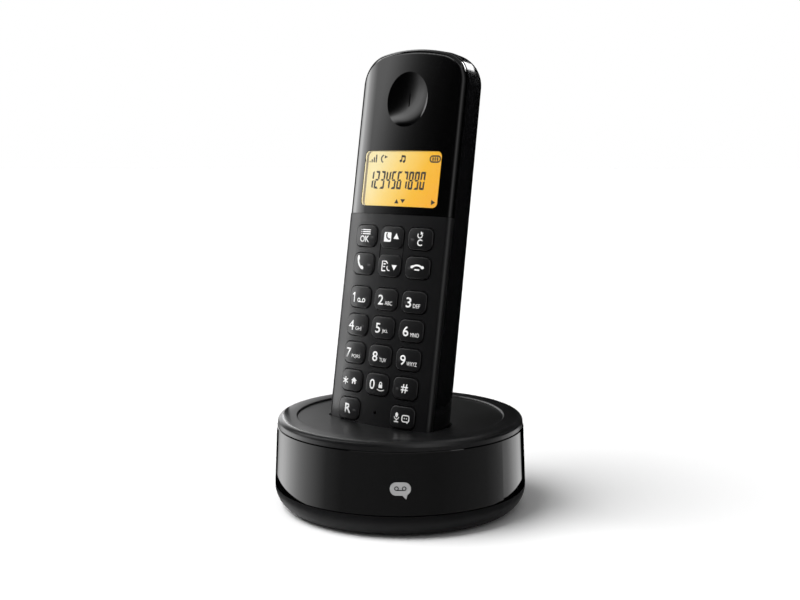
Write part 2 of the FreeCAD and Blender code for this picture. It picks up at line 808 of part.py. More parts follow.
def handset_antenna():
    """A stamped strip across the top end of the board, turned down at its ends."""
    y = handset_length - antenna_drop
    left = -antenna_half
    bar = block(left, antenna_half, y, y + 0.5, board_back - 6.0, board_back - 3.5)
    foot = board_back - layer_gap
    legs = [block(x, x + 2.0, y, y + 0.5, board_back - 4.0, foot) for x in (left, left + 6.0)]
    drop = block(antenna_half - 2.0, antenna_half, y, y + 0.5, board_back - 8.5, board_back - 5.0)
    return bar.multiFuse(legs + [drop])


def shield_can(y, width, length, low, lift):
    """A tinned sheet cover, open at the side of the board: the hollow is lifted or lowered by lift."""
    high = low + shield_height
    can = rounded_block(0, y, width, length, 2.5 * shield_wall, low, high)
    room = 2 * shield_wall
    return can.cut(rounded_block(0, y, width - room, length - room, room, low + lift, high + lift))


def handset_rf_shield():
    """The tinned can over the radio, on the back of the board."""
    y = tub_high + tub_wall + 4.0 + handset_shield_length / 2
    low = board_back - layer_gap - shield_height
    return shield_can(y, handset_shield_width, handset_shield_length, low, shield_wall)


def loudspeaker():
    """The hands-free loudspeaker behind the sound slots: basket, magnet and cone."""
    low = -depth_at(speaker_centre - speaker_radius) + rear_wall + back_drop(speaker_radius) + 2 * fit_gap
    rim = cylinder(speaker_radius, low, low + 1.6, 0, speaker_centre)
    dish = Part.makeCone(speaker_radius - 1.5, 3.5, 1.2, Vector(0, speaker_centre, low - 0.01))
    magnet = cylinder(speaker_radius * 0.6, low + 1.4, low + speaker_height, 0, speaker_centre)
    return rim.cut(dish).fuse(magnet)


def cross_recess(x, y, z, size, depth):
    """A screw head's cross slot, opening downwards."""
    bars = [block(x - size, x + size, y - 0.25, y + 0.25, z, z + depth)]
    bars.append(block(x - 0.25, x + 0.25, y - size, y + size, z, z + depth))
    return Part.makeCompound(bars)


def handset_screws():
    """Four pan head screws that draw the rear shell to the front shell."""
    seat = board_back - screw_seat_depth - fit_gap

    def screw(x, y):
        body = cylinder(screw_head, seat - screw_head_thick, seat, x, y)
        body = body.makeFillet(0.5, [body.Edges[2]])
        body = body.fuse(cylinder(screw_radius, seat, -face_drop(x) - front_wall - 0.6, x, y))
        return body.cut(cross_recess(x, y, seat - screw_head_thick - 0.1, 1.1, 0.8))

    return Part.makeCompound(at_screws(screw))


def turned(start, *steps):
    """A solid of revolution about Z. A step is the end of a line, or the middle and the end of an arc."""
    here = Vector(start[0], 0, start[1])
    edges = []
    for step in list(steps) + [start]:
        if isinstance(step[0], tuple):
            middle = Vector(step[0][0], 0, step[0][1])
            there = Vector(step[1][0], 0, step[1][1])
            edges.append(arc(here, middle, there))
        else:
            there = Vector(step[0], 0, step[1])
            edges.append(Part.makeLine(here, there))
        here = there
    return Part.Face(Part.Wire(edges)).revolve(Vector(0, 0, 0), Vector(0, 0, 1), 360)


def pocket_form(gap, floor):
    """The handset's form, straight all the way down and larger by a gap: the pocket's inside or outside."""
    form = handset_form(-gap, taper=0)
    form.translate(Vector(0, gap - floor, 0))
    return dock(form)


def base_hole(angle, level, radius):
    """A round bar that points out of the base at a given angle and height."""
    run = Vector(math.cos(math.radians(angle)), math.sin(math.radians(angle)), 0)
    start = run * (skirt_inner - 6.0) + Vector(0, 0, level)
    return Part.makeCylinder(radius, base_radius, start, run)


def turned_about(shape, angle):
    """Turn a piece that was modelled pointing along +X to its place round the base."""
    shape.rotate(Vector(0, 0, 0), Vector(0, 0, 1), angle)
    return shape


jack_level = base_board_top + layer_gap
paging_level = jack_level + 5.5


def jack_openings(grow):
    """The three holes in the side of the base: line, power and paging."""
    deep_y = skirt_inner - 8.0
    line_x = line_jack_width / 2 + grow
    holes = [block(-jack_shift - line_x, -jack_shift + line_x, deep_y, 2 * base_radius,
                   jack_level - grow, jack_level + line_jack_height + grow)]
    power_x = power_jack_width / 2 + grow
    holes.append(block(jack_shift - power_x, jack_shift + power_x, deep_y, 2 * base_radius,
                       jack_level - grow, jack_level + power_jack_height + grow))
    holes.append(base_hole(paging_angle, paging_level, paging_radius + 0.3))
    return holes


def icon_plate(grow, inner, outer):
    """A rounded plate with a small tail, pointing out of the base where the indicator shows."""
    width = icon_width + 2 * grow
    height = icon_height + 2 * grow
    plate = rounded_block(0, 0, width, height, height * 0.48, inner, outer)
    root = -icon_height / 2 + 0.6
    tip = -icon_height / 2 - icon_tail - 2.1 * grow
    left = Vector(0.2 - 1.4 * grow, root, inner)
    point = Vector(2.0 + 0.5 * grow, tip, inner)
    right = Vector(2.5 + 1.1 * grow, root, inner)
    tail = Part.Face(Part.makePolygon([left, point, right, left])).extrude(Vector(0, 0, outer - inner))
    plate = plate.fuse(tail).removeSplitter()
    plate.rotate(Vector(0, 0, 0), Vector(0, 1, 0), 90)
    plate.rotate(Vector(0, 0, 0), Vector(1, 0, 0), 90)
    plate.translate(Vector(0, 0, icon_level))
    return turned_about(plate, icon_angle)


def base_screw_places():
    """Three screws, clear of the feet, the sockets and the indicator."""
    return [(base_screw_circle * math.cos(math.radians(a)), base_screw_circle * math.sin(math.radians(a)))
            for a in (10, 170, 270)]


def base_top_shell():
    """The matt top: rolled rim, shallow dish, the pocket that holds the handset, a lip and screw posts."""
    roll = math.sqrt(0.5)
    lip_high = rim_low + rim_lip
    roll_centre = rim_radius - rim_roll
    roll_mid = (roll_centre + rim_roll * roll, lip_high + rim_roll * roll)
    edge_in = dish_radius + dish_fillet
    crest = ((roll_centre + edge_in) / 2, rim_high + rim_crown)
    edge_mid = (edge_in - dish_fillet * roll, rim_high - dish_fillet + dish_fillet * roll)
    half_way = dish_radius / 2
    under = dish_low - dish_wall
    under_edge = dish_edge - dish_wall
    lip_out = skirt_inner - fit_gap
    lip_in = lip_out - ring_lip
    lip_low = rim_low - ring_lip_depth
    shell = turned(
        (lip_out, lip_low),
        (lip_out, rim_low),
        (rim_radius, rim_low),
        (rim_radius, lip_high),
        (roll_mid, (roll_centre, rim_high)),
        (crest, (edge_in, rim_high)),
        (edge_mid, (dish_radius, rim_high - dish_fillet)),
        (dish_radius, dish_edge),
        ((half_way, dish_level(half_way)), (0, dish_low)),
        (0, under),
        ((half_way, dish_level(half_way) - dish_wall), (dish_radius, under_edge)),
        (lip_in, rim_low),
        (lip_in, lip_low),
    )
    below = turned((0, -base_radius), (dish_radius, -base_radius), (dish_radius, dish_edge - dish_wall / 2),
                   ((half_way, dish_level(half_way) - dish_wall / 2), (0, dish_low - dish_wall / 2)))
    cup = pocket_form(dock_gap + cup_wall, seat_gap + cup_wall).common(below)
    posts = [cylinder(base_screw_radius + 2.0, base_board_top + layer_gap, dish_edge - dish_wall / 2, x, y)
             for x, y in base_screw_places()]
    shell = shell.multiFuse([cup] + [p.common(below) for p in posts])
    hollow = pocket_form(dock_gap, seat_gap)
    shell = shell.cut(hollow)
    holes = [cylinder(base_screw_radius + 0.04, 0, base_board_low + base_screw_length, x, y)
             for x, y in base_screw_places()]
    half = charge_width / 2
    for x in (-charge_pitch / 2, charge_pitch / 2):
        slot = block(x - half, x + half, cup_foot - 1, 0, charge_back - 1.6, charge_front + 1.6)
        holes.append(dock(slot))
    for hole in holes:
        shell = shell.cut(hole)
    return shell.removeSplitter()


def base_inner_ring():
    """The matt ring that carries the gloss band, open at the sockets and the indicator."""
    high = rim_low - layer_gap
    inner, outer = skirt_inner, skirt_radius
    ring = turned((inner, band_low), (outer, band_low), (outer, high), (inner, high))
    for hole in jack_openings(jack_gap) + [icon_plate(0.2, skirt_inner - 3, base_radius)]:
        ring = ring.cut(hole)
    return ring


def base_charge_contacts():
    """Two sprung strips under the pocket, each humped up through the floor to meet the handset's pad."""
    strips = []
    top = -seat_gap / 2 - charge_strip / 2
    low = charge_level - charge_strip / 2
    points = [(low, charge_back - 2.0), (low, charge_back - 0.6), (top, charge_back + 0.8),
              (top, charge_front - 0.8), (low, charge_front + 0.6), (low, charge_reach)]
    for x in (-charge_pitch / 2, charge_pitch / 2):
        strips.append(dock(strip(points, charge_strip, x - charge_width / 2 + 1, x + charge_width / 2 - 1)))
    return Part.makeCompound(strips)


def base_gloss_band():
    """The gloss ring round the base, a little narrower at the top, with rounded edges."""
    edge = 0.25
    top = base_radius - band_taper
    inner = skirt_radius + fit_gap
    band = turned((inner, band_low), (base_radius - edge, band_low), (base_radius, band_low + edge),
                  (top, band_high - edge), (top - edge, band_high), (inner, band_high))
    for hole in jack_openings(jack_gap) + [icon_plate(0.05, skirt_radius - 2, base_radius + 2)]:
        band = band.cut(hole)
    return band


def base_bottom_tray():
    """The underside: a rounded tray with posts for the board and screws, and seats for the feet."""
    floor = foot_height + tray_wall
    foot = base_radius - base_foot_inset
    bulge = (base_radius - base_foot_inset * 0.27, foot_height + tray_height * 0.43)
    lip = skirt_inner - fit_gap
    lip_high = tray_top + tray_lip
    tray = turned((0, foot_height), (foot, foot_height), (bulge, (base_radius, tray_top)),
                  (lip, tray_top), (lip, lip_high), (lip - tray_wall, lip_high),
                  (lip - tray_wall, tray_top - 2.0), (foot - tray_wall, floor), (0, floor))
    places = base_screw_places()
    post_top = base_board_low - layer_gap
    posts = [cylinder(base_screw_head + 1.6, foot_height, post_top, x, y) for x, y in places]
    tray = tray.multiFuse(posts)
    seat = base_board_low - base_seat_depth
    holes = [cylinder(base_screw_head + 0.2, 0, seat, x, y) for x, y in places]
    holes += [cylinder(base_screw_radius + 0.15, 0, base_board_low + 1, x, y) for x, y in places]
    holes += [cylinder(foot_radius + fit_gap, 0, foot_height + foot_sink, x, y) for x, y in foot_places()]
    plate = rounded_block(0, 0, 40.0, 22.0, 2.0, 0, foot_height + 0.3)
    return tray.cut(Part.makeCompound(holes)).cut(plate).removeSplitter()


def foot_places():
    """Four feet at the corners of a square."""
    return [(foot_circle * math.cos(math.radians(a)), foot_circle * math.sin(math.radians(a)))
            for a in (45, 135, 225, 315)]


def rubber_feet():
    """Four rubber feet, let into the underside."""
    feet = []
    for x, y in foot_places():
        foot = cylinder(foot_radius, 0, foot_height + foot_sink - layer_gap, x, y)
        low = [e for e in foot.Edges if abs(e.BoundBox.ZMax) < 0.001]
        feet.append(foot.makeFillet(foot_height / 3, low))
    return Part.makeCompound(feet)


def base_screws():
    """Three screws from below, through the board and into the top shell's posts."""
    seat = base_board_low - base_seat_depth - fit_gap
    screws = []
    for x, y in base_screw_places():
        body = cylinder(base_screw_head, seat - base_screw_head_thick, seat, x, y)
        body = body.fuse(cylinder(base_screw_radius, seat, seat + base_screw_length, x, y))
        screws.append(body.cut(cross_recess(x, y, seat - base_screw_head_thick - 0.1, 1.4, 1.0)))
    return Part.makeCompound(screws)


def base_pcb():
    """The base's circuit board, cut out round the pocket and the screws."""
    board = cylinder(base_board_radius, base_board_low, base_board_top)
    board = board.cut(dock(handset_blank(-dock_gap - cup_wall - 0.8, 0)))
    holes = [cylinder(base_screw_radius + 0.15, 0, base_radius, x, y) for x, y in base_screw_places()]
    return board.cut(Part.makeCompound(holes))


jack_face = math.sqrt((skirt_radius + fit_gap) ** 2 - (jack_shift + line_jack_width / 2) ** 2) - fit_gap
jack_back = jack_face - max(line_jack_depth, power_jack_depth)
behind_middle = (behind_pocket + jack_back) / 2
base_shield_length = jack_back - behind_pocket - 2 * base_shield_gap


def line_jack():
    """The modular socket for the telephone line, with its latch slot and spring wires."""
    left = -jack_shift - line_jack_width / 2
    right = left + line_jack_width
    back = jack_face - line_jack_depth
    body = block(left, right, back, jack_face, jack_level, jack_level + line_jack_height)
    x = -jack_shift
    half = plug_width / 2
    low = jack_level + 3.2
    body = body.cut(block(x - half, x + half, back + 2, jack_face + 1, low, low + plug_height))
    body = body.cut(block(x - 3.2, x + 3.2, back + 4, jack_face + 1, low - 1.9, low + 1))
    wires = [block(x + 1.02 * (i - 1.5) - 0.2, x + 1.02 * (i - 1.5) + 0.2, back + 1.5, jack_face - 4.5,
                   low + plug_height - 0.6, low + plug_height + 0.1) for i in range(4)]
    return body.multiFuse(wires)


def power_jack():
    """The round socket for the mains adapter, with its centre pin."""
    x = jack_shift
    back = jack_face - power_jack_depth
    half = power_jack_width / 2
    level = jack_level + power_jack_height / 2
    body = block(x - half, x + half, back, jack_face, jack_level, jack_level + power_jack_height)
    body = body.cut(Part.makeCylinder(power_bore, 9.5, Vector(x, jack_face - 9.5, level), Vector(0, 1, 0)))
    pin = Part.makeCylinder(power_pin, 9.0, Vector(x, jack_face - 10.0, level), Vector(0, 1, 0))
    return body.fuse(pin)


def paging_button():
    """The paging key in the side of the base: a domed cap with a flange inside the skirt."""
    cap_end = base_radius - band_taper * (paging_level - band_low) / band_height + 0.2
    flange_edge = math.sqrt(skirt_inner**2 - (paging_radius + 1.4) ** 2) - 0.3
    run = Vector(1, 0, 0)
    cap_start = flange_edge - 0.5
    cap = Part.makeCylinder(paging_radius, cap_end - cap_start, Vector(cap_start, 0, 0), run)
    cap = cap.common(Part.makeSphere(3 * paging_radius, Vector(cap_end - 3 * paging_radius, 0, 0)))
    flange = Part.makeCylinder(paging_radius + 1.4, 0.8, Vector(flange_edge - 0.8, 0, 0), run)
    button = cap.fuse(flange)
    button.translate(Vector(0, 0, paging_level))
    return turned_about(button, paging_angle)


def paging_switch():
    """The upright push switch behind the paging key."""
    tip = math.sqrt(skirt_inner**2 - (paging_radius + 1.4) ** 2) - 0.3 - 0.8 - paging_travel - 0.3
    body = block(tip - 4.6, tip - 1.0, -3.1, 3.1, jack_level, paging_level + 3.1)
    stem = Part.makeCylinder(1.7, 1.2, Vector(tip - 1.2, 0, paging_level), Vector(1, 0, 0))
    return turned_about(body.fuse(stem), paging_angle)


def indicator_lens():
    """The white lens let into the band, its face following the band."""
    plate = icon_plate(0, skirt_radius - 0.5, base_radius + 2)
    top = base_radius - band_taper
    bar = turned((0, band_low), (base_radius, band_low), (top, band_high), (0, band_high))
    return plate.common(bar)


def indicator_light_pipe():
    """The clear rod that carries the lamp's light up to the lens."""
    outer = skirt_radius - 0.5 - fit_gap
    rod = block(outer - 8.0, outer, -1.5, 1.5, icon_level - 1.5, icon_level + 1.5)
    foot = block(outer - 8.0, outer - 5.0, -1.5, 1.5, jack_level + 1.3, icon_level)
    bevel = Part.makeBox(4.0, 4.0, 6.0, Vector(0, -2.0, 0))
    bevel.rotate(Vector(0, 0, 0), Vector(0, 1, 0), -45)
    bevel.translate(Vector(outer - 8.0 + 0.2, 0, icon_level - 0.8))
    return turned_about(rod.fuse(foot).cut(bevel).removeSplitter(), icon_angle)


def indicator_led():
    """The lamp on the board under the light pipe."""
    middle = skirt_radius - 0.5 - fit_gap - 6.5
    lamp = block(middle - 1.4, middle + 1.4, -1.1, 1.1, jack_level, jack_level + 0.8)
    lens = block(middle - 0.9, middle + 0.9, -0.9, 0.9, jack_level + 0.7, jack_level + 1.1)
    return turned_about(lamp.fuse(lens), icon_angle)


def base_antennas():
    """Two folded strip aerials that stand on the board, left and right."""
    parts = []
    near = base_board_radius - 3.0
    far = near + 0.5
    for angle in (antenna_angle, 180 - antenna_angle):
        bar = block(near, far, -6.0, 6.0, jack_level + 5.0, jack_level + 8.0)
        feet = [block(near, far, y, y + 1.5, jack_level, jack_level + 5.5) for y in (-6.0, -1.0)]
        tip = block(near, far, 4.5, 6.0, jack_level + 2.0, jack_level + 5.5)
        parts.append(turned_about(bar.multiFuse(feet + [tip]), angle))
    return Part.makeCompound(parts)


def base_rf_shield():
    """The tinned can over the base's radio, on the board behind the pocket."""
    return shield_can(behind_middle, base_shield_width, base_shield_length, jack_level, -shield_wall)


def base_capacitors():
    """Three upright capacitors beside the radio's can: a large one to the left and two to the right."""
    cans = []
    left = -base_shield_width / 2 - can_gap
    right = base_shield_width / 2 + can_gap
    sizes = ((left - 4.0, 4.0, 11.0), (right + 2.6, 2.6, 7.0), (right + 5.2 + can_gap + 3.2, 3.2, 9.0))
    for x, radius, tall in sizes:
        can = cylinder(radius, jack_level, jack_level + tall, x, behind_middle)
        cans.append(can.makeFillet(0.5, [e for e in can.Edges if e.BoundBox.ZMin > jack_level + 1]))
    return Part.makeCompound(cans)


handset_pieces = [handset_front_shell, handset_rear_shell, upper_fascia, display_window, lcd_panel,
                  lcd_backlight, earpiece_speaker, earpiece_gasket, handset_pcb, keypad_mat, dome_sheet,
                  microphone, mic_boot, loudspeaker, battery_cells, battery_contacts,
                  handset_charge_contacts, handset_antenna, handset_screws, handset_rf_shield,
                  battery_door, nav_rocker]
base_pieces = [base_top_shell, base_inner_ring, base_gloss_band, base_bottom_tray, indicator_lens,
               indicator_light_pipe, indicator_led, base_pcb, base_charge_contacts, base_antennas,
               line_jack, power_jack, paging_button, paging_switch, rubber_feet, base_screws,
               base_rf_shield, base_capacitors]

os.makedirs("parts", exist_ok=True)
for piece in handset_pieces:
    dock(piece()).exportStep("parts/%s.step" % piece.__name__)
for name in key_places:
    dock(key(name)).exportStep("parts/%s.step" % name)
for piece in base_pieces:
    piece().exportStep("parts/%s.step" % piece.__name__)
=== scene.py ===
import math

import bpy
from mathutils import Matrix, Vector


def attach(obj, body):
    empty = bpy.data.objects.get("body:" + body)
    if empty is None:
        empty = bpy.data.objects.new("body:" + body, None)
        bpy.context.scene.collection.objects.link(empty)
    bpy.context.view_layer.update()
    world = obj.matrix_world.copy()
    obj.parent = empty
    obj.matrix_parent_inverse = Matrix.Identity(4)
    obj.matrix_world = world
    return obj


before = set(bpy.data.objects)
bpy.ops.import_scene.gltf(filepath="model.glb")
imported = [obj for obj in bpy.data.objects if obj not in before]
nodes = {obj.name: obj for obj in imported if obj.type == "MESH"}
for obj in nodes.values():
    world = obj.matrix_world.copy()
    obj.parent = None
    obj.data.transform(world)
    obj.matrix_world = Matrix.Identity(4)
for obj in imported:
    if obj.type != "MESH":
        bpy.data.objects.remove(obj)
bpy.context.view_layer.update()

# The cordless phone stands in its round base. +Z is up, the front faces -Y, and everything is in metres.
lean = math.radians(9.346)
base_radius = 0.047


# Camera. It stands to the right of the front, a little above the height of the display's foot,
# and looks slightly down.
bpy.ops.object.camera_add(
    location=(0.28062, -0.34919, 0.13481),
    rotation=(math.radians(82.64), 0, math.radians(38.80)))
camera = bpy.context.object
camera.name = "camera"
camera.data.lens = 54.76
bpy.context.scene.camera = camera
bpy.context.scene.view_settings.view_transform = "Standard"


# Floor. A large plain white table top that keeps the phone's soft shadow.
def node_of(tree, kind, x=0, y=0, **values):
    """Add a shader node and set its plain input values by name."""
    made = tree.nodes.new(kind)
    made.location = (x, y)
    for name, value in values.items():
        made.inputs[name.replace("_", " ")].default_value = value
    return made


def new_finish(name):
    """A new material that holds only its surface shader and its output."""
    material = bpy.data.materials.new(name)
    material.use_nodes = True
    tree = material.node_tree
    return material, tree, tree.nodes["Principled BSDF"]


bpy.ops.object.select_all(action="DESELECT")
bpy.ops.mesh.primitive_circle_add(vertices=96, radius=6.0, fill_type="NGON")
floor = bpy.context.object
floor.name = "table_top"
white_table, tree, surface = new_finish("white_table")
surface.inputs["Base Color"].default_value = (1.0, 1.0, 1.0, 1)
surface.inputs["Roughness"].default_value = 1.0
surface.inputs["Specular IOR Level"].default_value = 0.0
floor.data.materials.append(white_table)


# Light. A broad lamp high on the left, a weaker one on the right, and an even white surround, which
# is full white where it is seen and weaker as a light. The lamps give no highlights: those come from
# the cards that follow.
bpy.ops.object.light_add(type="SUN", rotation=(math.radians(33), 0, math.radians(-41)))
key_light = bpy.context.object
key_light.name = "key_light"
key_light.data.energy = 3.0
key_light.data.angle = math.radians(44)
key_light.visible_glossy = False
bpy.ops.object.light_add(type="SUN", rotation=(math.radians(30), 0, math.radians(20)))
fill_light = bpy.context.object
fill_light.name = "fill_light"
fill_light.data.energy = 0.25
fill_light.data.angle = math.radians(70)
fill_light.visible_glossy = False
surround = bpy.data.worlds.new("white_surround")
bpy.context.scene.world = surround
surround.use_nodes = True
tree = surround.node_tree
background = tree.nodes["Background"]
background.inputs["Color"].default_value = (1, 1, 1, 1)
path = node_of(tree, "ShaderNodeLightPath", -900)
seen = node_of(tree, "ShaderNodeMath", -700)
seen.operation = "MAXIMUM"
tree.links.new(path.outputs["Is Camera Ray"], seen.inputs[0])
tree.links.new(path.outputs["Is Glossy Ray"], seen.inputs[1])
seen_through = node_of(tree, "ShaderNodeMath", -500)
seen_through.operation = "MAXIMUM"
tree.links.new(seen.outputs[0], seen_through.inputs[0])
tree.links.new(path.outputs["Is Transmission Ray"], seen_through.inputs[1])
strength = node_of(tree, "ShaderNodeMapRange", -300)
strength.inputs["To Min"].default_value = 0.24
strength.inputs["To Max"].default_value = 1.0
tree.links.new(seen_through.outputs[0], strength.inputs["Value"])
tree.links.new(strength.outputs[0], background.inputs["Strength"])


# Cards. Upright round cards stand about the phone, as a photographer's white and black boards do, with
# a grey one above and a black one on the floor. They show only in glossy surfaces.
def new_glow(name):
    """A new material that only glows, with the strength still to be joined."""
    glow = bpy.data.materials.new(name)
    glow.use_nodes = True
    tree = glow.node_tree
    tree.nodes.remove(tree.nodes["Principled BSDF"])
    lamp = node_of(tree, "ShaderNodeEmission")
    tree.links.new(lamp.outputs[0], tree.nodes["Material Output"].inputs["Surface"])
    return glow, tree, lamp


def fill_ramp(ramp, steps):
    """Give a colour ramp the grey levels in steps, as (position, level)."""
    knots = ramp.color_ramp.elements
    while len(knots) > 1:
        knots.remove(knots[0])
    for count, (position, level) in enumerate(steps):
        knot = knots[0] if count == 0 else knots.new(1.0)
        knot.position = position
        knot.color = (level, level, level, 1)


def show_in_gloss(made):
    """Stage a card that only the reflections show."""
    made.visible_camera = False
    made.visible_diffuse = False
    made.visible_transmission = False
    made.visible_volume_scatter = False
    made.visible_shadow = False


def card(name, radius, low, high, bright, stops, top_radius=None, rise=((0.0, 1.0),), tilt=0.0):
    """A glowing card bent round the phone. Stops are (compass degrees, share of bright), end to end,
    and rise is (height, share). The light edge turns by tilt degrees over the card's height."""
    bpy.ops.object.select_all(action="DESELECT")
    bpy.ops.mesh.primitive_cone_add(
        vertices=180, radius1=radius, radius2=top_radius or radius, depth=high - low,
        end_fill_type="NOTHING", location=(0, 0, (low + high) / 2))
    bpy.ops.object.transform_apply(location=True, rotation=False, scale=False)
    made = bpy.context.object
    made.name = name
    bpy.ops.object.mode_set(mode="EDIT")
    bpy.ops.mesh.select_mode(type="FACE")
    bpy.ops.mesh.select_all(action="DESELECT")
    bpy.ops.object.mode_set(mode="OBJECT")
    for face in made.data.polygons:
        compass = math.degrees(math.atan2(face.center.y, face.center.x))
        face.select = not stops[0][0] <= compass <= stops[-1][0]
    bpy.ops.object.mode_set(mode="EDIT")
    bpy.ops.mesh.delete(type="FACE")
    bpy.ops.object.mode_set(mode="OBJECT")

    glow, tree, lamp = new_glow(name + "_glow")
    links = tree.links
    place = node_of(tree, "ShaderNodeTexCoord", -1500)
    parts = node_of(tree, "ShaderNodeSeparateXYZ", -1300)
    turn = node_of(tree, "ShaderNodeMath", -1100)
    turn.operation = "ARCTAN2"
    cube = node_of(tree, "ShaderNodeMath", -1100, -200)
    cube.operation = "POWER"
    cube.inputs[1].default_value = 3.0
    shift = node_of(tree, "ShaderNodeMath", -900)
    shift.operation = "MULTIPLY_ADD"
    shift.inputs[1].default_value = -math.radians(tilt) / high**3
    round_share = node_of(tree, "ShaderNodeMapRange", -700)
    round_share.inputs["From Min"].default_value = -math.pi
    round_share.inputs["From Max"].default_value = math.pi
    links.new(place.outputs["Object"], parts.inputs[0])
    links.new(parts.outputs["Y"], turn.inputs[0])
    links.new(parts.outputs["X"], turn.inputs[1])
    links.new(parts.outputs["Z"], cube.inputs[0])
    links.new(cube.outputs[0], shift.inputs[0])
    links.new(turn.outputs[0], shift.inputs[2])
    links.new(shift.outputs[0], round_share.inputs["Value"])
    across = node_of(tree, "ShaderNodeValToRGB", -500)
    upward = node_of(tree, "ShaderNodeValToRGB", -500, -300)
    links.new(round_share.outputs[0], across.inputs["Fac"])
    links.new(parts.outputs["Z"], upward.inputs["Fac"])
    fill_ramp(across, [((degrees + 180) / 360, share * bright) for degrees, share in stops])
    fill_ramp(upward, rise)
    strength = node_of(tree, "ShaderNodeMath", -200)
    strength.operation = "MULTIPLY"
    links.new(across.outputs["Color"], strength.inputs[0])
    links.new(upward.outputs["Color"], strength.inputs[1])
    links.new(strength.outputs[0], lamp.inputs["Strength"])
    made.data.materials.append(glow)
    show_in_gloss(made)


# The two near cards are no taller than the base, so they show only in the gloss band.
near = 0.075
card("near_left_card", near, 0.0, 0.0285, 2.5, [
    (-180, 0.0), (-170, 0.0), (-168, 0.2), (-165, 0.4), (-159, 0.64), (-152, 0.88), (-145, 1.0),
    (-139, 1.0), (-132, 0.92), (-125, 0.76), (-112, 0.48), (-100, 0.17), (-88, 0.08), (-28, 0.06),
    (7, 0.1), (20, 0.19)])
card("near_right_card", near, 0.0, 0.0232, 2.5, [
    (18, 0.18), (30, 0.43), (40, 0.68), (51, 0.72), (57, 0.56), (60.5, 0.0), (180, 0.0)])
# The left card is a soft box: brighter upwards, with an edge that leans to the right.
far = 0.6
ceiling = 1.1
card("left_card", far, 0.0, ceiling, 3.2, [
    (-180, 0.0), (-174, 0.05), (-166, 0.5), (-155, 1.0), (-146, 1.0), (-143, 0.78), (-139.5, 0.5),
    (-136, 0.29), (-133, 0.17), (-129, 0.08), (-124, 0.03), (-118, 0.008), (-95, 0.0)],
    rise=[(0.0, 0.11), (0.05, 0.15), (0.15, 0.28), (0.25, 0.53), (0.35, 0.62), (0.5, 0.75), (0.62, 1.0)],
    tilt=173.0)
# The far card closes the round: dim in front and at the right, black beside, white behind the left.
card("far_card", far + 0.01, 0.0, 0.9, 3.0, [
    (-100, 0.003), (-70, 0.01), (-50, 0.1), (-32, 0.33), (-15, 0.25), (0, 0.1), (20, 0.03), (40, 0.0),
    (122, 0.0), (127, 0.03), (131, 0.06), (134, 0.11), (137, 0.22), (140, 0.42), (145, 0.65), (155, 0.8),
    (165, 0.5), (175, 0.1), (180, 0.0)])
# A black card keeps the right side dark, a small white one behind it lights the top corner, a black
# one on the floor takes the table out of the reflections, and a grey one hangs above.
card("side_card", far / 2, 0.0, 0.3, 0.0, [(40, 0.0), (124, 0.0)])
card("corner_card", far - 0.02, 0.30, 0.53, 11.0, [(56, 1.0), (96, 1.0)])
card("floor_card", far, 0.0003, 0.0004, 0.0, [(-180, 0.0), (180, 0.0)], top_radius=base_radius + 0.005)
card("ceiling_card", far, ceiling, ceiling + 0.001, 0.3, [(-180, 1.0), (180, 1.0)], top_radius=0.001)


# Edge strip. A narrow light beside the handset leans with it and draws the bright line down the left
# edge. Its outer side is black, which keeps that line clear of the outline.
bpy.ops.object.select_all(action="DESELECT")
bpy.ops.mesh.primitive_plane_add(size=1)
edge_strip = bpy.context.object
edge_strip.name = "edge_strip"
strip_width = 0.0172
strip_length = 0.167
edge_strip.matrix_world = (
    Matrix.Translation((-0.03955, -0.00845, 0.1175)) @ Matrix.Rotation(-lean, 4, "X")
    @ Matrix.Rotation(math.radians(-57), 4, "Z") @ Matrix.Rotation(math.pi / 2, 4, "X")
    @ Matrix.Diagonal((strip_width, strip_length, 1, 1)))
strip_glow, tree, lamp = new_glow("edge_strip_glow")
place = node_of(tree, "ShaderNodeTexCoord", -900)
parts = node_of(tree, "ShaderNodeSeparateXYZ", -700)
width_share = node_of(tree, "ShaderNodeMath", -500)
width_share.operation = "ADD"
width_share.inputs[1].default_value = 0.5
across = node_of(tree, "ShaderNodeValToRGB", -300)
fill_ramp(across, [(0.616, 0.0), (0.651, 4.0), (0.68, 8.6), (0.721, 9.0), (0.767, 6.2), (0.814, 4.6),
                   (0.872, 3.6), (0.93, 2.6), (1.0, 1.9)])
tree.links.new(place.outputs["Object"], parts.inputs[0])
tree.links.new(parts.outputs["X"], width_share.inputs[0])
tree.links.new(width_share.outputs[0], across.inputs["Fac"])
tree.links.new(across.outputs["Color"], lamp.inputs["Strength"])
edge_strip.data.materials.append(strip_glow)
show_in_gloss(edge_strip)


# Moulded plastic. The mould's spark texture leaves a fine grain on every black moulding, and handling
# leaves the roughness slightly uneven. The three effects below are shared by the plastics.
def effect(name, outputs, **inputs):
    """An empty node group with named inputs, given as (socket kind, value), and named outputs."""
    group = bpy.data.node_groups.new(name, "ShaderNodeTree")
    for label, (kind, value) in inputs.items():
        made = group.interface.new_socket(label.replace("_", " "), in_out="INPUT", socket_type=kind)
        made.default_value = value
    for label, kind in outputs:
        group.interface.new_socket(label, in_out="OUTPUT", socket_type=kind)
    return group, group.nodes.new("NodeGroupInput"), group.nodes.new("NodeGroupOutput")


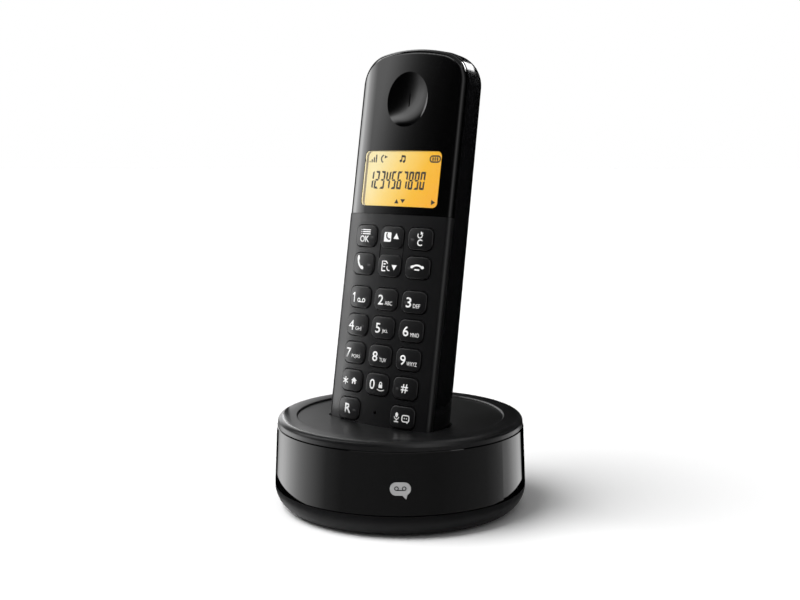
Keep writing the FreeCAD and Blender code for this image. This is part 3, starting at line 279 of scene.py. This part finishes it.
number = "NodeSocketFloat"
spark_grain, entry, leave = effect(
    "spark_grain", [("Height", number)], Grain_Scale=(number, 2200.0))
place = node_of(spark_grain, "ShaderNodeTexCoord")
fine = node_of(spark_grain, "ShaderNodeTexNoise", Detail=3.0, Roughness=0.6)
pits = node_of(spark_grain, "ShaderNodeTexVoronoi")
both = node_of(spark_grain, "ShaderNodeMath")
both.operation = "MULTIPLY"
for texture in (fine, pits):
    spark_grain.links.new(place.outputs["Object"], texture.inputs["Vector"])
    spark_grain.links.new(entry.outputs["Grain Scale"], texture.inputs["Scale"])
spark_grain.links.new(fine.outputs[0], both.inputs[0])
spark_grain.links.new(pits.outputs["Distance"], both.inputs[1])
spark_grain.links.new(both.outputs[0], leave.inputs["Height"])

handling, entry, leave = effect(
    "handling", [("Value", number)], Low=(number, 0.4), High=(number, 0.5), Patch_Scale=(number, 45.0))
place = node_of(handling, "ShaderNodeTexCoord")
patches = node_of(handling, "ShaderNodeTexNoise", Detail=4.0, Roughness=0.55)
spread = node_of(handling, "ShaderNodeMapRange")
spread.inputs["From Min"].default_value = 0.3
spread.inputs["From Max"].default_value = 0.7
handling.links.new(place.outputs["Object"], patches.inputs["Vector"])
handling.links.new(entry.outputs["Patch Scale"], patches.inputs["Scale"])
handling.links.new(patches.outputs[0], spread.inputs["Value"])
handling.links.new(entry.outputs["Low"], spread.inputs["To Min"])
handling.links.new(entry.outputs["High"], spread.inputs["To Max"])
handling.links.new(spread.outputs[0], leave.inputs["Value"])

colour = "NodeSocketColor"
pigment, entry, leave = effect(
    "pigment", [("Color", colour)], Dark=(colour, (0, 0, 0, 1)), Light=(colour, (1, 1, 1, 1)),
    Cloud_Scale=(number, 30.0))
place = node_of(pigment, "ShaderNodeTexCoord")
cloud = node_of(pigment, "ShaderNodeTexNoise", Detail=5.0, Roughness=0.6)
blend = node_of(pigment, "ShaderNodeMix")
blend.data_type = "RGBA"
pigment.links.new(place.outputs["Object"], cloud.inputs["Vector"])
pigment.links.new(entry.outputs["Cloud Scale"], cloud.inputs["Scale"])
pigment.links.new(cloud.outputs[0], blend.inputs[0])
pigment.links.new(entry.outputs["Dark"], blend.inputs[6])
pigment.links.new(entry.outputs["Light"], blend.inputs[7])
pigment.links.new(blend.outputs[2], leave.inputs["Color"])


def moulding(name, dark, light, low, high, relief, shine=0.5):
    """A plastic with its own pigment, uneven roughness between low and high, and a fine moulded grain."""
    material, tree, surface = new_finish(name)
    surface.inputs["Specular IOR Level"].default_value = shine
    tint = node_of(tree, "ShaderNodeGroup", -400, 300)
    tint.node_tree = pigment
    tint.inputs["Dark"].default_value = (*dark, 1)
    tint.inputs["Light"].default_value = (*light, 1)
    wear = node_of(tree, "ShaderNodeGroup", -400, 100)
    wear.node_tree = handling
    wear.inputs["Low"].default_value = low
    wear.inputs["High"].default_value = high
    skin = node_of(tree, "ShaderNodeGroup", -600, -150)
    skin.node_tree = spark_grain
    bump = node_of(tree, "ShaderNodeBump", -300, -150, Strength=relief, Distance=0.00003)
    tree.links.new(tint.outputs["Color"], surface.inputs["Base Color"])
    tree.links.new(wear.outputs["Value"], surface.inputs["Roughness"])
    tree.links.new(skin.outputs["Height"], bump.inputs["Height"])
    tree.links.new(bump.outputs[0], surface.inputs["Normal"])
    return material


def dress(material, *names):
    """Give CAD pieces their finish."""
    for name in names:
        for place in nodes[name].material_slots:
            place.material = material


# Matt black plastic: the keypad face, the base's top, its inner ring and the paging key. The tray has
# a stronger grain and is duller.
matt_black = moulding("matt_black", (0.004, 0.004, 0.0045), (0.006, 0.006, 0.0065), 0.28, 0.34, 0.3)
dress(matt_black, "handset_front_shell", "base_top_shell", "base_inner_ring", "paging_button")
tray_black = moulding("tray_black", (0.005, 0.005, 0.0055), (0.0075, 0.0075, 0.008), 0.4, 0.46, 0.4,
                      shine=0.12)
dress(tray_black, "base_bottom_tray")

# Gloss black plastic: the fascia over the display and ear dish, and the base's side band, both polished.
gloss_black = moulding("gloss_black", (0.0007, 0.0007, 0.0008), (0.0012, 0.0012, 0.0013), 0.02, 0.045,
                       0.015)
dress(gloss_black, "upper_fascia", "base_gloss_band")

# Satin black plastic: the rear shell and the battery door.
satin_black = moulding("satin_black", (0.003, 0.003, 0.0035), (0.005, 0.005, 0.0055), 0.12, 0.18, 0.1)
dress(satin_black, "handset_rear_shell", "battery_door")

# Keys. Matt black, with white printed signs. They stand in three columns, and the rows are measured up
# from the handset's bottom end.
key_black = moulding("key_black", (0.0045, 0.0045, 0.005), (0.007, 0.007, 0.0075), 0.30, 0.36, 0.25)
column_pitch = 0.01269
rows = [0.0247, 0.03512, 0.04554, 0.05596, 0.06638, 0.07876, 0.08918]
key_seats = {"key_menu": (-1, 6), "key_redial": (1, 6), "key_talk": (-1, 5), "key_hangup": (1, 5),
             "key_star": (-1, 1), "key_0": (0, 1), "key_hash": (1, 1), "key_recall": (-1, 0),
             "key_mute": (1, 0)}
for digit in range(1, 10):
    key_seats["key_%d" % digit] = ((digit - 1) % 3 - 1, 4 - (digit - 1) // 3)
dress(key_black, "nav_rocker", *key_seats)

white_ink, tree, surface = new_finish("white_ink")
tint = node_of(tree, "ShaderNodeGroup", -400, 300)
tint.node_tree = pigment
tint.inputs["Dark"].default_value = (0.84, 0.84, 0.84, 1)
tint.inputs["Light"].default_value = (0.92, 0.92, 0.91, 1)
tint.inputs["Cloud Scale"].default_value = 900.0
tree.links.new(tint.outputs["Color"], surface.inputs["Base Color"])
surface.inputs["Roughness"].default_value = 0.5

stand = Matrix.Translation((0, -0.018928, 0.0125)) @ Matrix.Rotation(math.pi / 2 - lean, 4, "X")
face_crown = 0.151


def on_face(x, y):
    """The place on the handset's convex face x across and y up from its bottom end, turned to face out."""
    turn = math.asin(x / face_crown)
    drop = face_crown * (1 - math.cos(turn))
    return stand @ Matrix.Translation((x, y, -drop)) @ Matrix.Rotation(turn, 4, "Y")


def patch(points):
    """A flat patch, in millimetres, that starts as a disc with one corner for each point."""
    bpy.ops.object.select_all(action="DESELECT")
    bpy.ops.mesh.primitive_circle_add(vertices=len(points), radius=0.001, fill_type="NGON")
    flat = bpy.context.object
    for corner, (x, y) in zip(flat.data.vertices, points):
        corner.co = (x / 1000, y / 1000, 0)
    return flat


def pen(points, width):
    """A line of ink of an even width through a row of points, with round ends."""
    half = width / 2
    left = []
    right = []
    for count, (x, y) in enumerate(points):
        ahead = points[min(count + 1, len(points) - 1)]
        behind = points[max(count - 1, 0)]
        run = Vector((ahead[0] - behind[0], ahead[1] - behind[1])).normalized() * half
        left.append((x - run.y, y + run.x))
        right.append((x + run.y, y - run.x))
        if count == 0:
            tail = (x - run.x, y - run.y)
        if count == len(points) - 1:
            tip = (x + run.x, y + run.y)
    return patch([tail] + right + [tip] + left[::-1])


def bend(x, y, radius, start, end, steps=12, tall=1.0):
    """Points along an arc round x, y from start to end, in degrees."""
    turns = [math.radians(start + (end - start) * i / steps) for i in range(steps + 1)]
    return [(x + radius * math.cos(t), y + radius * tall * math.sin(t)) for t in turns]


def ring(x, y, radius, width):
    """A round line."""
    return [pen(bend(x, y, radius, start, start + 182, 14), width) for start in (0, 180)]


def letters(text, x, y, height, width, weight=0.0):
    """Characters of plain type, centred on x, y and drawn to a height and a width."""
    bpy.ops.object.select_all(action="DESELECT")
    bpy.ops.object.text_add()
    line = bpy.context.object
    line.data.body = text
    line.data.offset = weight
    line.data.resolution_u = 5
    bpy.ops.object.convert(target="MESH")
    line = bpy.context.object
    low = Vector((min(v.co.x for v in line.data.vertices), min(v.co.y for v in line.data.vertices)))
    high = Vector((max(v.co.x for v in line.data.vertices), max(v.co.y for v in line.data.vertices)))
    for corner in line.data.vertices:
        corner.co.x = (x + width * ((corner.co.x - low.x) / (high.x - low.x) - 0.5)) / 1000
        corner.co.y = (y + height * ((corner.co.y - low.y) / (high.y - low.y) - 0.5)) / 1000
    return line


ink_thickness = 0.00003
ink_gap = 0.000012
start_height = 0.003


def lay(name, shapes, place, under, body, material, thick=ink_thickness):
    """Join flat shapes, press them onto the surface of a CAD piece, and give them the ink's thickness."""
    bpy.ops.object.select_all(action="DESELECT")
    for shape in shapes:
        shape.select_set(True)
    bpy.context.view_layer.objects.active = shapes[0]
    if len(shapes) > 1:
        bpy.ops.object.join()
    sign = bpy.context.object
    sign.name = name
    sign.data.name = name
    bpy.ops.object.mode_set(mode="EDIT")
    bpy.ops.mesh.select_all(action="SELECT")
    bpy.ops.mesh.quads_convert_to_tris()
    bpy.ops.mesh.subdivide(number_cuts=1)
    bpy.ops.object.mode_set(mode="OBJECT")
    sign.matrix_world = place @ Matrix.Translation((0, 0, start_height))
    press = sign.modifiers.new("press", "SHRINKWRAP")
    press.target = nodes[under]
    press.wrap_method = "PROJECT"
    press.use_project_z = True
    press.use_positive_direction = False
    press.use_negative_direction = True
    press.offset = ink_gap
    bpy.ops.object.modifier_apply(modifier="press")
    bpy.ops.object.transform_apply(location=True, rotation=True, scale=True)
    build_up = sign.modifiers.new("build_up", "SOLIDIFY")
    build_up.thickness = thick
    build_up.offset = 1.0
    bpy.ops.object.modifier_apply(modifier="build_up")
    sign.data.materials.clear()
    sign.data.materials.append(material)
    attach(sign, body)


def print_key(name, shapes):
    """White print on a key's crowned top."""
    column, row = key_seats[name]
    lay(name + "_print", shapes, on_face(column_pitch * column, rows[row]), name, name, white_ink)


def reels(x, y, spread, radius, width):
    """The two reels of a recorded message, joined along their feet."""
    foot = y - radius
    return ring(x - spread, y, radius, width) + ring(x + spread, y, radius, width) + [
        pen([(x - spread, foot), (x + spread, foot)], width)]


def receiver(x, y, size, turn):
    """A telephone receiver: a bowed grip that thickens to both ends, turned by turn degrees."""
    outer = bend(0, 0, 1.0, 35, 145, 14)
    inner = bend(0, -0.12, 0.8, 125, 55, 10)
    ear = [(0.56, 0.36), (0.68, 0.22), (0.86, 0.36)]
    mouth = [(-a, b) for a, b in ear[::-1]]
    corners = outer + mouth + inner + ear
    cos, sin = math.cos(math.radians(turn)), math.sin(math.radians(turn))
    return patch([(x + size * (a * cos - (b - 0.7) * sin), y + size * (a * sin + (b - 0.7) * cos))
                  for a, b in corners])


# The keys' prints, in millimetres: first the digits that have letters beside them, then the others.
digit_height = 3.65
group_height = 1.45
digit_sizes = {"2": 2.55, "3": 2.35, "4": 2.85, "5": 2.35, "6": 2.5, "7": 2.5, "8": 2.5, "9": 2.5}
groups = {"2": ("ABC", 1.78, 3.3), "3": ("DEF", 1.5, 2.9), "4": ("GHI", 1.15, 2.9), "5": ("JKL", 1.5, 2.8),
          "6": ("MNO", 1.95, 3.5), "7": ("PQRS", 1.3, 4.2), "8": ("TUV", 1.8, 3.1), "9": ("WXYZ", 1.9, 4.3)}
for digit, width in digit_sizes.items():
    left = -2.7 if digit in "47" else -1.97
    group, middle, length = groups[digit]
    print_key("key_" + digit, [
        letters(digit, left, -0.3, digit_height, width, 0.0 if digit == "4" else 0.012),
        letters(group, middle, -1.35, group_height, length)])

one = [(-0.32, 1.82), (0.28, 1.82), (0.28, -1.82), (-0.2, -1.82), (-0.2, 1.1), (-0.95, 0.75), (-0.95, 1.2)]
print_key("key_1", [patch([(x - 2.65, y - 0.3) for x, y in one])] + reels(1.13, -1.2, 1.2, 0.62, 0.34))
star = [pen([(x, y), (-x, -y)], 0.46) for x, y in bend(0, 0, 1.35, 30, 150, 2)]
star_left, star_down = 0.0028, 0.0003
for stroke in star:
    for corner in stroke.data.vertices:
        corner.co.x -= star_left
        corner.co.y -= star_down
house = [(0.7, -1.2), (0.7, 0.1), (0.2, 0.1), (1.6, 1.25), (3.0, 0.1), (2.5, 0.1), (2.5, -1.2), (1.95, -1.2),
         (1.95, -0.4), (1.25, -0.4), (1.25, -1.2)]
print_key("key_star", star + [patch(house)])
lock = [(1.2, -1.1), (2.8, -1.1), (2.8, 0.15), (1.2, 0.15)]
print_key("key_0", [
    letters("0", -1.94, -0.1, 3.75, 2.5, 0.012), patch(lock),
    pen([(1.5, 0.1)] + bend(2.0, 0.5, 0.5, 180, 0, 8) + [(2.5, 0.1)], 0.3),
    pen(bend(2.1, 0.9, 3.0, 240, 300, 8), 0.3)])
hash_lines = [((-0.88, -1.5), (-0.4, 1.5)), ((0.4, -1.5), (0.88, 1.5)), ((-1.35, 0.5), (1.4, 0.5)),
              ((-1.4, -0.5), (1.35, -0.5))]
print_key("key_hash", [pen(line, 0.4) for line in hash_lines])
print_key("key_recall", [letters("R", -0.1, 0.0, 3.6, 3.1, 0.03)])
list_sign = [pen([(-1.5, y), (2.3, y)], 0.36) for y in (0.75, 1.5, 2.25)]
list_dots = [pen([(-2.3, y), (-2.2, y)], 0.36) for y in (0.75, 1.5, 2.25)]
print_key("key_menu", list_sign + list_dots + [letters("OK", -0.35, -1.15, 2.4, 4.7, 0.02)])
print_key("key_redial", [
    pen(bend(0, 1.3, 0.95, 60, -210, 20), 0.34), patch([(0.2, 2.75), (0.2, 1.55), (1.3, 2.15)]),
    letters("C", 0.15, -1.35, 2.4, 2.1, 0.02)])
grip = bend(2.9, 2.4, 4.3, 170, 245, 14)
print_key("key_talk", [
    pen([(x - 1.2, y - 0.35) for x, y in grip], 0.75), pen([(-2.5, 2.3), (-2.45, 1.45)], 1.15),
    pen([(0.05, -1.75), (-0.55, -1.2)], 1.15)])
print_key("key_hangup", [
    pen(bend(0.1, -1.5, 2.9, 38, 142, 14, 0.82), 0.62), pen([(-2.35, 0.15), (-1.75, 0.3)], 1.05),
    pen([(2.55, 0.15), (1.95, 0.3)], 1.05), pen([(-0.8, -0.75), (1.0, -0.75)], 0.5)])
bubble = bend(2.5, 0.25, 0.65, 0, 90, 4) + bend(0.9, 0.25, 0.65, 90, 180, 4)
bubble += bend(0.9, -0.7, 0.65, 180, 270, 4) + bend(2.5, -0.7, 0.65, 270, 360, 4)
print_key("key_mute", [
    pen([(-2.2, 0.3), (-2.2, 1.1)], 1.2), pen(bend(-2.2, 0.2, 1.05, 195, 345, 10), 0.32),
    pen([(-2.2, -0.95), (-2.2, -1.6)], 0.34), pen([(-3.1, -1.75), (-1.3, -1.75)], 0.38),
    pen(bubble + bubble[:1], 0.42), patch([(1.9, -1.3), (2.9, -1.3), (2.6, -2.1)]),
    pen([(1.25, -0.15), (1.26, -0.15)], 0.55), pen([(2.15, -0.15), (2.16, -0.15)], 0.55)])

# The rocker's print: a telephone book and an arrow up above, a call list and an arrow down below.
book = [(-3.4, -1.75), (-0.3, -1.75), (0.0, -1.45), (0.0, 1.45), (-0.3, 1.75), (-3.0, 1.75), (-3.4, 1.4)]
up_signs = [patch(book), patch([(1.1, -0.55), (3.5, -0.55), (2.3, 1.6)])]
lay("nav_rocker_print_up", up_signs, on_face(0, rows[6]), "nav_rocker", "nav_rocker", white_ink)
lay("nav_rocker_print_book", [receiver(-1.75, 0.0, 1.75, 125)], on_face(0, rows[6]), "nav_rocker",
    "nav_rocker", key_black, thick=2 * ink_thickness)
page = [pen([(-3.0, -2.0), (-3.0, 1.5), (-1.2, 1.5)], 0.45), pen([(-1.2, 1.5), (-0.5, 0.8)], 0.45),
        pen([(-3.0, -2.0), (-1.4, -2.0)], 0.45), pen([(-2.3, 0.5), (-1.4, 0.5)], 0.4),
        pen([(-2.3, -0.5), (-1.6, -0.5)], 0.4)]
lay("nav_rocker_print_down", page + [receiver(-0.25, -1.3, 1.2, 125),
                                     patch([(1.5, 0.3), (3.8, 0.3), (2.65, -1.6)])],
    on_face(0, rows[5]), "nav_rocker", "nav_rocker", white_ink)


# Display. Amber glass, lit from behind, in a pale frame under a clear pane. The glass deepens in colour
# from its upper left to its lower right.
amber_glass, tree, surface = new_finish("amber_glass")
place = node_of(tree, "ShaderNodeTexCoord", -1300)
slide = node_of(tree, "ShaderNodeMapping", -1100)
slide.inputs["Location"].default_value = (0.0178, 0.0, -0.119)
slide.inputs["Scale"].default_value = (1.0, 0.0, 1.0)
parts = node_of(tree, "ShaderNodeSeparateXYZ", -900)
fall = node_of(tree, "ShaderNodeMath", -700)
fall.operation = "MULTIPLY_ADD"
fall.inputs[1].default_value = -0.55
depth = node_of(tree, "ShaderNodeMapRange", -500)
depth.inputs["From Max"].default_value = 0.036
glow = node_of(tree, "ShaderNodeValToRGB", -300)
tree.links.new(place.outputs["Object"], slide.inputs["Vector"])
tree.links.new(slide.outputs[0], parts.inputs[0])
tree.links.new(parts.outputs["Z"], fall.inputs[0])
tree.links.new(parts.outputs["X"], fall.inputs[2])
tree.links.new(fall.outputs[0], depth.inputs["Value"])
tree.links.new(depth.outputs[0], glow.inputs["Fac"])
tree.links.new(glow.outputs["Color"], surface.inputs["Emission Color"])
for position, shade in ((0.3, (0.97, 0.67, 0.16)), (0.45, (0.96, 0.60, 0.09)),
                        (0.65, (0.94, 0.49, 0.005))):
    glow.color_ramp.elements.new(position).color = (*shade, 1)
glow.color_ramp.elements[0].color = (0.92, 0.78, 0.38, 1)
glow.color_ramp.elements[-1].color = (0.93, 0.41, 0.0, 1)
surface.inputs["Base Color"].default_value = (0.03, 0.02, 0.006, 1)
surface.inputs["Roughness"].default_value = 0.3
surface.inputs["Emission Strength"].default_value = 1.25
dress(amber_glass, "lcd_panel")

clear_pane, tree, surface = new_finish("clear_pane")
surface.inputs["Roughness"].default_value = 0.0
surface.inputs["IOR"].default_value = 1.49
surface.inputs["Transmission Weight"].default_value = 1.0
dress(clear_pane, "display_window", "indicator_light_pipe")

lit_frame = moulding("lit_frame", (0.30, 0.27, 0.21), (0.36, 0.32, 0.25), 0.4, 0.5, 0.1)
dress(lit_frame, "lcd_backlight")

segment_black, tree, surface = new_finish("segment_black")
surface.inputs["Base Color"].default_value = (0.012, 0.008, 0.004, 1)
surface.inputs["Roughness"].default_value = 0.5
glass_centre = 0.11082
glass_depth = 0.0039
on_glass = stand @ Matrix.Translation((0, glass_centre, -glass_depth))
segments = {
    "a": [(-0.72, 3.35), (0.78, 3.35), (0.34, 2.55), (-0.28, 2.55)],
    "b": [(0.88, 3.2), (0.88, 0.15), (0.28, 0.5), (0.28, 2.75)],
    "c": [(0.88, -0.15), (0.88, -3.2), (0.28, -2.75), (0.28, -0.5)],
    "d": [(-0.28, -2.55), (0.34, -2.55), (0.78, -3.35), (-0.72, -3.35)],
    "e": [(-0.88, -0.15), (-0.28, -0.5), (-0.28, -2.75), (-0.88, -3.2)],
    "f": [(-0.88, 3.2), (-0.28, 2.75), (-0.28, 0.5), (-0.88, 0.15)],
    "g": [(-0.65, 0.0), (-0.4, 0.34), (0.4, 0.34), (0.65, 0.0), (0.4, -0.34), (-0.4, -0.34)]}
shown = {"1": "bc", "2": "abged", "3": "abgcd", "4": "fgbc", "5": "afgcd", "6": "afgecd", "7": "abc",
         "8": "abcdefg", "9": "abfgcd", "0": "abcdef"}
first_digit = -15.75
digit_pitch = 2.68
digit_stretch = 1.25
digit_drop = 0.23
slant = 0.06
marks = []
for count, digit in enumerate("1234567890"):
    middle = first_digit + digit_pitch * count
    for segment in shown[digit]:
        marks.append(patch([(middle + x * digit_stretch + y * slant, y - digit_drop)
                            for x, y in segments[segment]]))
marks += [pen([(x, 6.5), (x, top)], 0.62)
          for x, top in ((-17.3, 6.6), (-16.3, 7.3), (-15.3, 8.1), (-14.3, 9.0))]
marks += [receiver(-11.6, 7.7, 1.75, 90), patch([(-10.4, 9.0), (-8.9, 8.4), (-10.4, 7.8)])]
marks += [pen([(-2.2, 7.0), (-2.2, 9.0), (-0.7, 8.8), (-0.7, 6.8)], 0.55),
          pen([(-2.2, 8.7), (-0.7, 8.5)], 0.6),
          pen([(-2.75, 6.95), (-2.5, 6.95)], 1.05), pen([(-1.25, 6.75), (-1.0, 6.75)], 1.05)]
cell = bend(14.4, 7.8, 1.1, -90, 90, 8) + bend(12.0, 7.8, 1.1, 90, 270, 8)
marks += [pen(cell + cell[:1], 0.55)] + [pen([(x, 7.3), (x, 8.3)], 0.6) for x in (12.2, 13.2, 14.2)]
marks += [patch([(-3.7, -8.8), (-1.7, -8.8), (-2.7, -7.2)]),
          patch([(-0.95, -7.15), (0.15, -8.65), (1.25, -7.15)]),
          patch([(13.3, -9.0), (15.1, -8.0), (13.3, -7.0)])]
lay("display_marks", marks, on_glass, "lcd_panel", "handset", segment_black)


# Message lamp. A pale lens in the band, with the two reels printed on it in black.
lens_white = moulding("lens_white", (0.40, 0.40, 0.40), (0.44, 0.44, 0.44), 0.3, 0.36, 0.05)
dress(lens_white, "indicator_lens")
facing = math.radians(-51.2)
lens_height = 0.01824
lens_place = (Matrix.Rotation(facing + math.pi / 2, 4, "Z")
              @ Matrix.Translation((0, -base_radius, lens_height)) @ Matrix.Rotation(math.pi / 2, 4, "X"))
black_ink, tree, surface = new_finish("black_ink")
surface.inputs["Base Color"].default_value = (0.012, 0.012, 0.012, 1)
surface.inputs["Roughness"].default_value = 0.5
lay("indicator_sign", reels(0, 0.15, 1.31, 0.62, 0.34), lens_place, "indicator_lens", "base", black_ink)


# Inside. These show when the battery door is open or the handset is off the base.
plain = {
    "white_plastic": (["indicator_led"], (0.7, 0.7, 0.68), (0.78, 0.78, 0.76), 0.4),
    "speaker_metal": (["earpiece_speaker", "loudspeaker", "microphone"], (0.3, 0.3, 0.31), (0.4, 0.4, 0.41),
                      0.35),
    "foam": (["earpiece_gasket"], (0.03, 0.03, 0.03), (0.05, 0.05, 0.05), 0.9),
    "board": (["handset_pcb", "base_pcb"], (0.02, 0.12, 0.05), (0.03, 0.18, 0.08), 0.4),
    "silicone": (["keypad_mat", "mic_boot"], (0.30, 0.31, 0.32), (0.36, 0.37, 0.38), 0.6),
    "dome_metal": (["dome_sheet", "handset_rf_shield", "base_rf_shield", "handset_antenna", "base_antennas",
                    "battery_contacts"], (0.55, 0.55, 0.56), (0.68, 0.68, 0.69), 0.3),
    "cell_sleeve": (["battery_cells"], (0.05, 0.20, 0.10), (0.06, 0.24, 0.12), 0.25),
    "contact_gold": (["handset_charge_contacts", "base_charge_contacts"], (0.75, 0.55, 0.25),
                     (0.8, 0.62, 0.3), 0.25),
    "screw_steel": (["handset_screws", "base_screws"], (0.25, 0.25, 0.26), (0.32, 0.32, 0.33), 0.35),
    "socket_black": (["line_jack", "power_jack", "paging_switch"], (0.02, 0.02, 0.02), (0.03, 0.03, 0.03),
                     0.4),
    "capacitor_sleeve": (["base_capacitors"], (0.02, 0.03, 0.07), (0.03, 0.04, 0.09), 0.3),
    "rubber": (["rubber_feet"], (0.02, 0.02, 0.02), (0.03, 0.03, 0.03), 0.75)}
metals = ("speaker_metal", "dome_metal", "contact_gold", "screw_steel")
for name, (members, dark, light, rough) in plain.items():
    made = moulding(name, dark, light, rough - 0.04, rough + 0.04, 0.2)
    if name in metals:
        made.node_tree.nodes["Principled BSDF"].inputs["Metallic"].default_value = 1.0
    dress(made, *members)

# The cells' sleeves carry a dark band round one end and a pale ring, as plain rechargeable cells do.
tree = nodes["battery_cells"].material_slots[0].material.node_tree
along = Vector((0.0, math.sin(lean), math.cos(lean)))
reach = [corner.co.dot(along) for corner in nodes["battery_cells"].data.vertices]
place = node_of(tree, "ShaderNodeTexCoord", -1300, 500)
height = node_of(tree, "ShaderNodeVectorMath", -1100, 500)
height.operation = "DOT_PRODUCT"
height.inputs[1].default_value = along
length_share = node_of(tree, "ShaderNodeMapRange", -900, 500)
length_share.inputs["From Min"].default_value = min(reach)
length_share.inputs["From Max"].default_value = max(reach)
bands = node_of(tree, "ShaderNodeValToRGB", -700, 500)
bands.color_ramp.interpolation = "CONSTANT"
steel = (0.30, 0.30, 0.31, 1)
bands.color_ramp.elements[0].color = steel
bands.color_ramp.elements[1].position = 0.97
bands.color_ramp.elements[1].color = steel
for position, shade in ((0.015, (0.02, 0.09, 0.045)), (0.70, (0.55, 0.57, 0.55)),
                        (0.715, (0.012, 0.013, 0.013))):
    bands.color_ramp.elements.new(position).color = (*shade, 1)
tree.links.new(place.outputs["Object"], height.inputs[0])
tree.links.new(height.outputs["Value"], length_share.inputs["Value"])
tree.links.new(length_share.outputs[0], bands.inputs["Fac"])
tree.links.new(bands.outputs["Color"], tree.nodes["Principled BSDF"].inputs["Base Color"])
